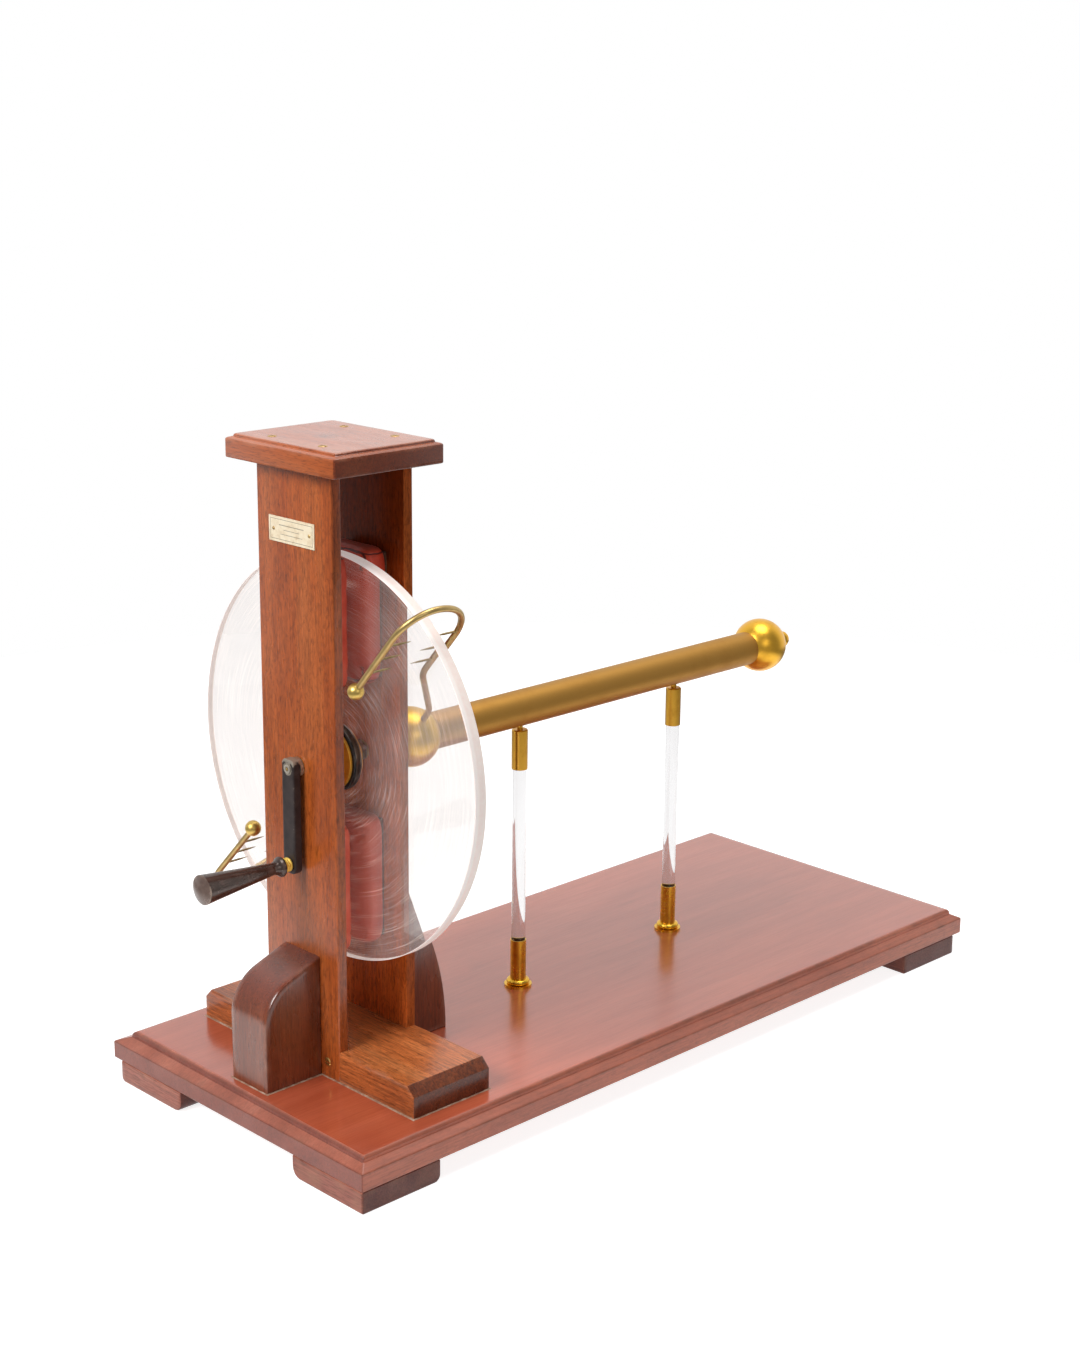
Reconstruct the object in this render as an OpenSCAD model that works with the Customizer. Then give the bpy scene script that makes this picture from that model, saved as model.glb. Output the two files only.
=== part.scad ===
// Friction electrostatic machine. A crank turns a clear disc between leather cushions, and two
// combs draw its charge into a brass conductor that stands on insulating columns.
// X runs from the crank end to the conductor end, Y across to the left, Z up, in millimetres.
// The origin lies under the middle of the machine, on the surface that it stands on.

/* [Base] */
// Length of the base board, at its lip
base_l = 681; // [610:1:760]
// Width of the base board, at its lip
base_w = 292; // [260:1:340]
// Thickness of the base board
base_t = 21.5; // [18:0.5:30]
// Width of the moulding round the base board
base_mould_w = 10.5; // [8:0.5:14]
// Height of the moulding round the base board
base_mould_h = 7.9; // [6:0.1:10]
// Radius of the rounded step on the base moulding
base_step_r = 3.2; // [2:0.1:4]
// Height of the rounded step on the base moulding
base_step_h = 4.4; // [4:0.1:5.6]
// Length of a foot, along the base
foot_l = 70; // [50:1:90]
// Width of a foot, across the base
foot_w = 76; // [50:1:90]
// Height of a foot
foot_h = 16.5; // [12:0.5:25]
// Rounding of a foot's inner end, across the base
foot_inner_r = 8; // [4:0.5:10]
// Rounding of a foot's inner end, along the base
foot_end_r = 3; // [2:0.5:6]
// Inset of the rear feet from the board's end
foot_inset_rear = 10; // [0:1:20]
// Inset of the left feet from the board's side
foot_inset_left = 9; // [0:1:20]

/* [Tower] */
// Distance from the front lip of the base to the plane of the disc
tower_set = 104; // [96:1:125]
// Clear space between the two uprights
board_gap = 55.6; // [50:0.2:66]
// Thickness of an upright board
board_t = 8.4; // [7:0.2:11]
// Width of an upright board
upright_w = 81.6; // [72:0.2:90]
// Height of an upright board
upright_h = 444; // [420:1:480]
// Length of the cross block
cross_l = 242; // [210:1:255]
// Height of the cross block
cross_h = 23.5; // [20:0.5:30]
// Bevel on the ends of the cross block
cross_bevel = 7; // [4:0.5:10]
// Length of the cap board, at its lip
cap_l = 98; // [92:1:110]
// Width of the cap board, at its lip
cap_w = 120; // [110:1:140]
// Thickness of the cap board
cap_t = 16.7; // [14:0.1:22]
// Width of the moulding round the cap board
cap_mould_w = 5.5; // [4:0.1:8]
// Height of the moulding round the cap board
cap_mould_h = 3.1; // [2.6:0.1:5]
// Radius of the rounded step on the cap moulding
cap_step_r = 1.4; // [0.8:0.1:1.6]
// Height of the rounded step on the cap moulding
cap_step_h = 1.8; // [1.6:0.1:2.4]

/* [Buttresses] */
// Width of both buttresses
buttress_w = 41; // [26:1:44]
// Depth of the front buttress
front_buttress_d = 50; // [38:1:55]
// Height of the front buttress at the upright
front_buttress_h = 91.5; // [80:0.5:110]
// Fall of the front buttress's top, in degrees
front_buttress_fall = 20; // [12:1:28]
// Shoulder radius of the front buttress
front_buttress_r = 34; // [22:1:36]
// Depth of the rear buttress
rear_buttress_d = 49; // [42:1:60]
// Radius of the rear buttress's curved edge
rear_buttress_r = 200; // [150:5:260]
// Lean of the rear buttress's straight edge, in degrees
rear_buttress_lean = 21; // [16:1:26]

/* [Plate and screws] */
// Width of the name plate
plate_w = 49.5; // [40:0.5:60]
// Height of the name plate
plate_h = 17.8; // [12:0.2:24]
// Thickness of the name plate
plate_t = 0.8; // [0.6:0.1:1.5]
// Distance from the cap down to the name plate's middle
plate_drop = 46; // [34:1:90]
// Offset of the name plate's middle to the left
plate_y = 2; // [-6:0.5:6]
// Distance between the plate's pins
plate_pin_pitch = 39; // [30:0.5:44]
// Diameter of a plate pin's shank
pin_d = 1.2; // [0.8:0.1:1.6]
// Diameter of a plate pin's head
pin_head_d = 2.8; // [2:0.1:4]
// Height of a plate pin's head
pin_head_h = 0.7; // [0.4:0.1:1]
// Length of a plate pin under its head
pin_l = 6; // [4:0.5:7]
// Shank diameter of the wood screws
screw_d = 3.4; // [2.8:0.1:4]
// Head diameter of the wood screws
screw_head_d = 6.8; // [5.6:0.1:7.4]
// Stand-out of a screw's head from the wood
screw_out = 0.4; // [0.2:0.1:0.6]
// Point length of the wood screws
screw_point = 5; // [3:0.5:7]
// Width and depth of a screw's slot
screw_slot = 0.8; // [0.5:0.1:1]
// Length of a cap screw
cap_screw_l = 32; // [26:1:40]
// Distance of the cap screws from the middle, across the cap
cap_screw_y = 27.5; // [18:0.5:32]
// Length of an upright screw
upright_screw_l = 24; // [18:1:26]
// Distance of the upright screws from the middle, across the block
upright_screw_y = 27; // [26:0.5:32]
// Height of the upright screws above the base
upright_screw_z = 12; // [8:0.5:14]
// Length of a tower screw, from under the base
tower_screw_l = 36; // [30:1:40]
// Distance of the tower screws from the middle, across the base
tower_screw_y = 75; // [55:1:90]

/* [Disc and axle] */
// Height of the axle above the base
axis_h = 230; // [215:1:245]
// Diameter of the disc
disc_d = 300; // [270:1:320]
// Thickness of the disc
disc_t = 10; // [6:0.2:11]
// Bevel on the disc's edge
disc_bevel = 0.6; // [0.3:0.1:1.2]
// Diameter of the axle
axle_d = 9; // [7:0.5:11]
// Diameter of the axle's end in the crank arm
axle_end_d = 6.5; // [4.5:0.1:7]
// Stand-out of the axle at its two ends
axle_out = 0.6; // [0.3:0.1:1]
// Outer diameter of an axle bush
bush_d = 14; // [13:0.5:18]
// Stand-out of an axle bush from both faces of its board
bush_out = 0.3; // [0.2:0.1:0.6]
// Diameter of a hub flange
hub_d = 46; // [40:1:56]
// Thickness of a hub flange at its rim
hub_rim = 2.2; // [1.4:0.2:4]
// Rise of a hub flange from its rim to its boss
hub_rise = 4.5; // [2:0.5:6]
// Diameter of a hub boss
hub_boss_d = 20; // [18:0.5:26]
// Diameter of the front hub's spigot in the disc
hub_spigot_d = 15; // [13:0.5:17]
// Length of the rear hub
rear_hub_l = 13; // [11:0.5:14]
// Diameter of the washers beside the disc
washer_d = 50; // [44:1:60]
// Thickness of the washers beside the disc
washer_t = 1.2; // [0.8:0.1:2]
// Width across the flats of the hub nut
hub_nut_af = 15; // [13:0.5:18]
// Thickness of the hub nut
hub_nut_t = 6; // [4:0.5:6]
// Diameter of the pin through the front hub
hub_pin_d = 3; // [2:0.5:4]

/* [Crank] */
// Space between the upright and the crank arm
crank_gap = 3.4; // [2.6:0.1:6]
// Diameter of the collar behind the crank arm
crank_collar_d = 14; // [11:0.5:17]
// Width of the crank arm
arm_w = 13; // [11:0.5:16]
// Thickness of the crank arm
arm_t = 6.6; // [5.6:0.2:10]
// Distance from the axle to the grip
arm_throw = 71; // [60:1:85]
// Length of the arm past the axle and past the grip
arm_end = 7; // [6:0.5:10]
// Corner radius of the crank arm
arm_corner_r = 4; // [2:0.5:5]
// Diameter of the spindle that carries the grip
spindle_d = 4; // [3:0.5:4.5]
// Diameter of the head on each end of the spindle
spindle_head_d = 5.6; // [5:0.1:5.8]
// Thickness of the spindle's heads
spindle_head_t = 1.6; // [1:0.2:2]
// Diameter of the ferrule's sleeve inside the grip
sleeve_d = 6.4; // [6.2:0.1:7]
// Length of the ferrule's sleeve inside the grip
sleeve_l = 14; // [10:1:20]
// Width of one ring of the grip's ferrule
ferrule_ring = 2.2; // [1.6:0.1:3]
// Number of rings on the grip's ferrule
ferrule_rings = 3; // [2:1:4]
// Diameter over the rings of the grip's ferrule
ferrule_ring_d = 10.4; // [9.4:0.2:12]
// Length of the grip, without its domed end
grip_l = 69; // [56:0.5:80]
// Diameter of the grip's lip
grip_lip_d = 15; // [13:0.5:18]
// Length of the grip's lip
grip_lip_l = 2.6; // [2:0.2:4]
// Radius of the flare between the grip's lip and neck
grip_flare_r = 9; // [6:0.5:12]
// Diameter of the grip's neck
grip_neck_d = 9; // [8.6:0.2:11]
// Largest diameter of the grip
grip_end_d = 21.6; // [16:0.2:24]
// Height of the grip's domed end
grip_dome = 2.6; // [2:0.2:6]

/* [Cushions] */
// Width of a cushion
cushion_w = 55; // [46:1:62]
// Height of a cushion
cushion_h = 100; // [85:1:108]
// Height of the upper cushions' middle above the axle
upper_cushion_z = 104; // [98:1:115]
// Depth of the lower cushions' middle below the axle
lower_cushion_z = 92; // [88:1:110]
// Crown of a cushion's face
cushion_crown = 3; // [1.5:0.5:5]
// Rounding of a cushion's front edge
cushion_roll = 6; // [3:0.5:8]
// Rounding of a cushion's back edge
cushion_tuck = 1.5; // [0.5:0.5:3]
// Draw of a cushion's sides between its corners
cushion_draw = 1.4; // [0.5:0.1:3]
// Thickness of a cushion's backing board
backing_t = 4; // [3:0.5:6]
// Set-back of a backing board from the cushion's outline
backing_set = 5; // [3.5:0.5:8]

/* [Columns] */
// Distance from the disc to the front column
front_column_set = 180.5; // [160:0.5:200]
// Distance between the columns
column_pitch = 176; // [150:1:195]
// Diameter of a clear column
column_d = 11.1; // [9:0.1:14]
// Wall of the column's brass ends
ferrule_wall = 0.7; // [0.5:0.1:1.2]
// Length of a column that sits inside each brass end
column_seat = 22; // [16:1:26]
// Height of a column socket
socket_h = 39; // [34:1:48]
// Diameter of a socket's flange
socket_flange_d = 22; // [19:0.5:28]
// Thickness of a socket's flange
socket_flange_t = 1.8; // [1.2:0.2:3]
// Radius of the bead above a socket's flange
socket_bead_r = 2.2; // [1.6:0.1:3]
// Length of a column's upper ferrule
ferrule_l = 32; // [28:1:40]
// Bevel on a ferrule's upper edge
ferrule_bevel = 0.8; // [0.4:0.1:1.2]
// Diameter of the neck between ferrule and tube
neck_d = 4.6; // [3.6:0.1:6]
// Length of the neck that shows
neck_l = 3; // [2:0.5:6]
// Diameter of a column stud
stud_d = 6; // [5:0.5:7]
// Length of a column stud inside its socket
stud_seat = 9; // [6:0.5:11]
// Width across the flats of a stud nut
stud_nut_af = 10; // [9:0.5:13]
// Thickness of a stud nut
stud_nut_t = 5; // [4:0.5:6]
// Diameter of the counterbore under the base
counterbore_d = 18; // [16:0.5:22]
// Depth of the counterbore under the base
counterbore_h = 9; // [7.5:0.5:11]

/* [Conductor] */
// Diameter of the conductor tube
tube_d = 28; // [24:0.5:32]
// Wall of the conductor tube
tube_wall = 1.5; // [1:0.1:2]
// Diameter of the conductor's balls
ball_d = 45; // [40:0.5:52]
// Wall of the conductor's balls
ball_wall = 1.5; // [1:0.1:2]
// Length of a ball's plug inside the tube
plug_l = 18; // [12:1:26]
// Distance from the disc to the near ball
near_ball_set = 73.2; // [68:0.2:80]
// Distance from the rear column to the far ball
far_ball_set = 108.4; // [90:0.2:120]
// Diameter of the terminal knob
knob_d = 14; // [10:0.5:17]
// Diameter of the terminal knob's stem
knob_stem_d = 5; // [4:0.5:7]

/* [Combs] */
// Rise of the right comb from level, in degrees
right_comb_rise = 48.5; // [40:0.5:50]
// Fall of the left comb from level, in degrees
left_comb_fall = 46; // [40:0.5:50]
// Diameter of a comb rod
rod_d = 4.6; // [3.4:0.2:5]
// Distance from the disc's plane to a comb leg
comb_half = 31.5; // [27:0.5:34]
// Distance from the disc's edge to the comb's outer end
comb_rim_gap = 23; // [16:1:30]
// Radius of the comb's outer end on the crank's side
comb_front_r = 24; // [18:1:30]
// Radius of the bends between ball and leg
comb_bend_r = 26; // [15:1:28]
// Distance from the near ball to the first bend
comb_neck = 2; // [1:0.5:6]
// Straight leg between the bend and the innermost point
comb_leg = 9; // [4:1:14]
// Swell of a comb rod where its slanting stretch begins and ends
rod_swell = 0.05; // [0.03:0.01:0.1]
// Number of points on a leg
comb_points = 3; // [2:1:4]
// Distance from the disc's edge to the outermost point
point_rim = 11; // [10:1:16]
// Distance between points
point_pitch = 15; // [10:0.5:16]
// Diameter of a point
point_d = 1.6; // [1.2:0.1:2]
// Length of a point's taper
point_taper = 8; // [4:1:10]
// Diameter at the tip of a point
point_tip_d = 0.4; // [0.3:0.1:0.6]
// Gap between a point's tip and the disc
point_gap = 6; // [4:0.5:9]
// Diameter of a comb's end ball
comb_ball_d = 11.8; // [9:0.2:12.4]
// Distance from the innermost point to the end ball
comb_ball_set = 21; // [14:1:24]

/* [Clearances] */
// Gap round a piece that is fixed in another
fit_gap = 0.05; // [0.03:0.01:0.08]
// Gap round a shaft that turns in its bore
run_gap = 0.05; // [0.03:0.01:0.08]
// Gap between faces that move past each other
pass_gap = 0.4; // [0.3:0.1:0.6]
// Gap between a cushion and the disc
rub_gap = 0.3; // [0.3:0.1:0.5]

/* [Hidden] */
$fn = 64;

// Overlap that lets a cut run past a face
cut = 1;
// Places along the machine
tower_d = board_gap + 2 * board_t;
arm_back = tower_d / 2 + crank_gap;
arm_front = arm_back + arm_t;
ferrule_ring_l = ferrule_ring * ferrule_rings;
grip_mouth = arm_front + pass_gap + ferrule_ring_l;
grip_reach = grip_mouth + grip_l + grip_dome;
far_ball_reach = front_column_set + column_pitch + far_ball_set;
knob_reach = far_ball_reach + ball_d / 2 + knob_d;
front_overhang = max(0, grip_reach - tower_set);
rear_overhang = max(0, tower_set + knob_reach - base_l);
base_x = (front_overhang - rear_overhang) / 2;
base_front = base_x - base_l / 2;
base_rear = base_x + base_l / 2;
tower_x = base_front + tower_set;
front_column_x = tower_x + front_column_set;
rear_column_x = front_column_x + column_pitch;
near_ball_x = tower_x + near_ball_set;
far_ball_x = tower_x + far_ball_reach;
// Heights
base_top = foot_h + base_t;
cap_z = base_top + upright_h;
axis_z = base_top + axis_h;
grip_z = axis_z - arm_throw;
// Stack on the axle, from the plane of the disc
hub_face = disc_t / 2 + washer_t;
front_hub_l = board_gap / 2 - bush_out - pass_gap - hub_face;
hub_pin_x = hub_face + (front_hub_l + hub_rim + hub_rise) / 2;
// Cushions
cushion_d = board_gap / 2 - disc_t / 2 - backing_t - rub_gap;
cushion_sides = 40;
cushion_square = 6;
// Columns
ferrule_d = column_d + 2 * (fit_gap + ferrule_wall);
ferrule_top = axis_h - tube_d / 2 - neck_l;
column_foot = socket_h - column_seat;
column_top = ferrule_top - ferrule_l + column_seat;
// Balls and tube
tube_bore = tube_d - 2 * tube_wall;
// Combs, in their own plane: X along the machine, Y outwards from the conductor's axis
rod_start = ball_d / 2 - ball_wall - comb_neck;
bend_start = ball_d / 2 + comb_neck;
point_out = disc_d / 2 - point_rim;
point_in = point_out - (comb_points - 1) * point_pitch;
leg_start = point_in - comb_leg;
end_ball_y = point_in - comb_ball_set;
comb_rear_r = 2 * comb_half - comb_front_r;
comb_end = disc_d / 2 + comb_rim_gap;
rear_leg_x = tower_x + comb_half;
front_leg_x = tower_x - comb_half;
bend_shift = near_ball_set - comb_half;
bend_run = [bend_shift - 2 * comb_bend_r, leg_start - bend_start];
bend_turn = atan2(bend_run.x, bend_run.y) + asin(2 * comb_bend_r / norm(bend_run));
bend_straight = sqrt(bend_run * bend_run - 4 * comb_bend_r * comb_bend_r);
point_l = comb_half - disc_t / 2 - point_gap;

// Lays an outline in the plane across the machine and runs it along the machine
module along_x(l) {
    rotate([90, 0, 90]) linear_extrude(l, center = true) children();
}

// Lays an outline in the plane along the machine and runs it across the machine
module along_y(l) {
    rotate([90, 0, 0]) linear_extrude(l, center = true) children();
}

// Turns a revolved shape so that its axis runs along the machine
module on_x() {
    rotate([0, 90, 0]) children();
}

// Places a shape on the axle, in the plane of the disc
module at_axle() {
    translate([tower_x, 0, axis_z]) children();
}

// Section of a board whose upper edge has a rounded step above a sloping band
module moulded_section(w, t, mould_w, mould_h, step_r, step_h) {
    step_half = w / 2 - mould_w + step_r;
    polygon([
        [-w / 2, 0], [w / 2, 0], [w / 2, t - mould_h],
        [step_half, t - step_h], [-step_half, t - step_h], [-w / 2, t - mould_h]
    ]);
    translate([-step_half, t - step_h]) square([2 * step_half, step_h - step_r]);
    translate([step_r - step_half, t - step_h]) square([2 * (step_half - step_r), step_h]);
    for (side = [-1, 1]) translate([side * (step_half - step_r), t - step_r]) circle(step_r);
}

// Board with the moulding mitred round its four sides
module moulded_board(l, w, t, mould_w, mould_h, step_r, step_h) {
    intersection() {
        along_x(l + cut) moulded_section(w, t, mould_w, mould_h, step_r, step_h);
        along_y(w + cut) moulded_section(l, t, mould_w, mould_h, step_r, step_h);
    }
}

// Rectangle whose lower far corner is rounded
module foot_section(l, r) {
    square([l - r, foot_h]);
    translate([0, r]) square([l, foot_h - r]);
    translate([l - r, r]) circle(r);
}

// Foot block with its outer corner at the origin
module foot() {
    color("sienna") intersection() {
        translate([foot_l / 2, 0, 0]) along_x(foot_l) foot_section(foot_w, foot_inner_r);
        translate([0, foot_w / 2, 0]) along_y(foot_w) foot_section(foot_l, foot_end_r);
    }
}

// Slotted countersunk screw with a low raised head, its rim at the origin and its point down
module wood_screw(l) {
    head_h = (screw_head_d - screw_d) / 2;
    difference() {
        union() {
            translate([0, 0, -head_h]) cylinder(d1 = screw_d, d2 = screw_head_d, h = head_h);
            cylinder(d1 = screw_head_d, d2 = screw_head_d - 4 * screw_out, h = screw_out);
            translate([0, 0, screw_point - l]) cylinder(d = screw_d, h = l - screw_point - head_h);
            translate([0, 0, -l]) cylinder(d1 = screw_slot, d2 = screw_d, h = screw_point);
        }
        translate([0, 0, screw_out]) cube([screw_slot, 2 * screw_head_d, 2 * screw_slot], center = true);
    }
}

// Hole that takes such a screw
module screw_hole(l) {
    head_h = (screw_head_d - screw_d) / 2;
    hole_d = screw_d + 2 * fit_gap;
    translate([0, 0, -head_h]) cylinder(d1 = hole_d, d2 = screw_head_d + 2 * fit_gap, h = head_h);
    translate([0, 0, -l]) cylinder(d = hole_d, h = l);
    cylinder(d = screw_head_d + 2 * fit_gap, h = cut);
}

// Places of the screws through the cap, into the end grain of both uprights
module at_cap_screws() {
    for (end = [-1, 1], side = [-1, 1])
        translate([tower_x + end * (tower_d - board_t) / 2, side * cap_screw_y, cap_z + cap_t]) children();
}

// Places of the screws through the uprights, into the cross block
module at_upright_screws() {
    for (end = [-1, 1], side = [-1, 1])
        translate([tower_x + end * tower_d / 2, side * upright_screw_y, base_top + upright_screw_z])
            rotate([0, end * 90, 0]) children();
}

// Places of the screws from under the base, into the cross block
module at_tower_screws() {
    for (side = [-1, 1])
        translate([tower_x, side * tower_screw_y, foot_h]) rotate([180, 0, 0]) children();
}

// Places of the pins in the name plate, on the plate's face
module at_plate_pins() {
    for (side = [-1, 1])
        translate([tower_x - tower_d / 2 - plate_t, plate_y + side * plate_pin_pitch / 2, cap_z - plate_drop])
            rotate([0, -90, 0]) children();
}

// Places of the two columns, on the base board
module at_columns() {
    for (x = [front_column_x, rear_column_x]) translate([x, 0, base_top]) children();
}

module base_board() {
    color("brown") difference() {
        translate([base_x, 0, foot_h])
            moulded_board(base_l, base_w, base_t, base_mould_w, base_mould_h, base_step_r, base_step_h);
        at_tower_screws() screw_hole(tower_screw_l);
        at_columns() translate([0, 0, -base_t - cut]) {
            cylinder(d = stud_d + 2 * fit_gap, h = base_t + 2 * cut);
            cylinder(d = counterbore_d, h = counterbore_h + cut);
        }
    }
}

module front_right_foot() {
    translate([base_front, -base_w / 2, 0]) foot();
}

module front_left_foot() {
    translate([base_front, base_w / 2 - foot_inset_left, 0]) mirror([0, 1, 0]) foot();
}

module rear_right_foot() {
    translate([base_rear - foot_inset_rear, -base_w / 2, 0]) mirror([1, 0, 0]) foot();
}

module rear_left_foot() {
    translate([base_rear - foot_inset_rear, base_w / 2 - foot_inset_left, 0]) rotate([0, 0, 180]) foot();
}

// Block with bevelled ends, notched so that the uprights lie flush with its sides
module cross_block() {
    half = cross_l / 2;
    color("sienna") difference() {
        translate([tower_x, 0, base_top]) along_x(tower_d) polygon([
            [-half, 0], [half, 0], [half, cross_h - cross_bevel],
            [half - cross_bevel, cross_h], [cross_bevel - half, cross_h], [-half, cross_h - cross_bevel]
        ]);
        for (end = [-1, 1])
            translate([tower_x + end * tower_d / 2, 0, base_top + cross_h / 2])
                cube([2 * board_t, upright_w + 2 * fit_gap, cross_h + 2 * cut], center = true);
        at_upright_screws() screw_hole(upright_screw_l);
        at_tower_screws() screw_hole(tower_screw_l);
    }
}

// Upright board, end -1 at the crank and 1 at the conductor, bored for its axle bush
module upright(end) {
    x = tower_x + end * (tower_d - board_t) / 2;
    color("peru") difference() {
        translate([x - board_t / 2, -upright_w / 2, base_top]) cube([board_t, upright_w, upright_h]);
        translate([x, 0, axis_z]) on_x() cylinder(d = bush_d + 2 * fit_gap, h = board_t + cut, center = true);
        at_cap_screws() screw_hole(cap_screw_l);
        at_upright_screws() screw_hole(upright_screw_l);
        at_plate_pins() translate([0, 0, -plate_t - pin_l]) cylinder(d = pin_d + 2 * fit_gap, h = pin_l + cut);
    }
}

module front_upright() {
    upright(-1);
}

module rear_upright() {
    upright(1);
}

// Low buttress with a sloping top that rolls over into its outer face
module front_buttress() {
    d = front_buttress_d;
    r = front_buttress_r;
    corner_h = front_buttress_h - d * tan(front_buttress_fall);
    tangent = r * tan((90 - front_buttress_fall) / 2);
    color("saddlebrown") translate([tower_x - tower_d / 2, 0, base_top]) mirror([1, 0, 0])
        along_y(buttress_w) intersection() {
            square([d, front_buttress_h]);
            union() {
                polygon([
                    [0, 0], [d, 0], [d, corner_h - tangent],
                    [d - tangent * cos(front_buttress_fall), corner_h + tangent * sin(front_buttress_fall)],
                    [0, front_buttress_h]
                ]);
                translate([d - r, corner_h - tangent]) circle(r);
            }
        }
}

// Tall buttress whose edge rises in a wide curve and then runs straight to the upright
module rear_buttress() {
    d = rear_buttress_d;
    r = rear_buttress_r;
    bend = [d - r + r * cos(rear_buttress_lean), r * sin(rear_buttress_lean)];
    color("saddlebrown") translate([tower_x + tower_d / 2, 0, base_top]) along_y(buttress_w) {
        intersection() {
            square([d, bend.y]);
            translate([d - r, 0]) circle(r);
        }
        polygon([[0, bend.y], bend, [0, bend.y + bend.x / tan(rear_buttress_lean)]]);
    }
}

module cap_board() {
    color("brown") difference() {
        translate([tower_x, 0, cap_z])
            moulded_board(cap_l, cap_w, cap_t, cap_mould_w, cap_mould_h, cap_step_r, cap_step_h);
        at_cap_screws() screw_hole(cap_screw_l);
    }
}

module cap_screws() {
    color("goldenrod") at_cap_screws() wood_screw(cap_screw_l);
}

module upright_screws() {
    color("goldenrod") at_upright_screws() wood_screw(upright_screw_l);
}

module tower_screws() {
    color("silver") at_tower_screws() wood_screw(tower_screw_l);
}

module name_plate() {
    color("ivory") difference() {
        translate([tower_x - tower_d / 2 - plate_t / 2, plate_y, cap_z - plate_drop])
            cube([plate_t, plate_w, plate_h], center = true);
        at_plate_pins() cylinder(d = pin_d + 2 * fit_gap, h = 2 * (plate_t + cut), center = true);
    }
}

// Pins with low round heads
module plate_pins() {
    head_r = (pin_head_d * pin_head_d / 4 + pin_head_h * pin_head_h) / (2 * pin_head_h);
    color("goldenrod") at_plate_pins() {
        intersection() {
            translate([0, 0, pin_head_h - head_r]) sphere(head_r);
            cylinder(d = pin_head_d + cut, h = pin_head_h + cut);
        }
        translate([0, 0, -plate_t - pin_l]) cylinder(d = pin_d, h = plate_t + pin_l);
    }
}

// Sleeve in the bore of an upright that carries the axle and stands out a little on both sides
module bush(end) {
    color("goldenrod") translate([tower_x + end * (tower_d - board_t) / 2, 0, axis_z]) on_x() difference() {
        cylinder(d = bush_d, h = board_t + 2 * bush_out, center = true);
        cylinder(d = axle_d + 2 * run_gap, h = board_t + 2 * cut, center = true);
    }
}

module front_bush() {
    bush(-1);
}

module rear_bush() {
    bush(1);
}

// Steel shaft, turned down where it is riveted into the crank arm
module axle() {
    rear_l = tower_d / 2 + axle_out;
    front_l = arm_front + axle_out;
    color("silver") at_axle() difference() {
        on_x() {
            translate([0, 0, -arm_back]) cylinder(d = axle_d, h = arm_back + rear_l);
            translate([0, 0, -front_l]) cylinder(d = axle_end_d, h = front_l - arm_back);
        }
        translate([-hub_pin_x, 0, 0]) cylinder(d = hub_pin_d + 2 * fit_gap, h = 2 * axle_d, center = true);
    }
}

// Clear disc with a bevelled edge and a hole for the hub's spigot
module glass_disc() {
    r = disc_d / 2;
    bore_r = hub_spigot_d / 2 + fit_gap;
    color("lightcyan") at_axle() on_x() rotate_extrude() polygon([
        [bore_r, -disc_t / 2], [r - disc_bevel, -disc_t / 2], [r, disc_bevel - disc_t / 2],
        [r, disc_t / 2 - disc_bevel], [r - disc_bevel, disc_t / 2], [bore_r, disc_t / 2]
    ]);
}

// Turned flange that rises to a boss of length l, its flat face down
module hub(l) {
    bore_r = axle_d / 2 + fit_gap;
    rotate_extrude() polygon([
        [bore_r, 0], [hub_d / 2, 0], [hub_d / 2, hub_rim],
        [hub_boss_d / 2, hub_rim + hub_rise], [hub_boss_d / 2, l], [bore_r, l]
    ]);
}

module front_hub() {
    color("goldenrod") at_axle() difference() {
        union() {
            translate([-hub_face, 0, 0]) rotate([0, -90, 0]) hub(front_hub_l);
            translate([-hub_face, 0, 0]) on_x() cylinder(d = hub_spigot_d, h = 2 * hub_face - pass_gap);
        }
        on_x() cylinder(d = axle_d + 2 * fit_gap, h = board_gap, center = true);
        translate([-hub_pin_x, 0, 0]) cylinder(d = hub_pin_d + 2 * fit_gap, h = 2 * hub_boss_d, center = true);
    }
}

module rear_hub() {
    color("goldenrod") at_axle() translate([hub_face, 0, 0]) on_x() hub(rear_hub_l);
}

// Washer between a hub and the disc, side -1 in front and 1 behind
module washer(side) {
    color("dimgray") at_axle() translate([side * (disc_t + washer_t) / 2, 0, 0]) on_x() difference() {
        cylinder(d = washer_d, h = washer_t, center = true);
        cylinder(d = hub_spigot_d + 2 * fit_gap, h = washer_t + cut, center = true);
    }
}

module front_washer() {
    washer(-1);
}

module rear_washer() {
    washer(1);
}

// Six-sided nut of width af across its flats
module hex_nut(af, t, bore_d) {
    difference() {
        cylinder(d = af / cos(30), h = t, $fn = 6);
        translate([0, 0, -cut]) cylinder(d = bore_d, h = t + 2 * cut);
    }
}

module hub_nut() {
    color("silver") at_axle() translate([hub_face + rear_hub_l, 0, 0]) on_x()
        hex_nut(hub_nut_af, hub_nut_t, axle_d + 2 * fit_gap);
}

module hub_pin() {
    color("silver") at_axle() translate([-hub_pin_x, 0, 0]) cylinder(d = hub_pin_d, h = hub_boss_d, center = true);
}

module crank_collar() {
    color("gray") at_axle() translate([-arm_back, 0, 0]) on_x() difference() {
        cylinder(d = crank_collar_d, h = crank_gap - bush_out - pass_gap);
        translate([0, 0, -cut]) cylinder(d = axle_d + 2 * fit_gap, h = crank_gap + 2 * cut);
    }
}

// Rectangle with round corners, centred across and standing on the origin's line
module round_rect(w, h, r) {
    translate([-w / 2, r]) square([w, h - 2 * r]);
    translate([r - w / 2, 0]) square([w - 2 * r, h]);
    for (side = [-1, 1], y = [r, h - r]) translate([side * (w / 2 - r), y]) circle(r);
}

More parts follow.
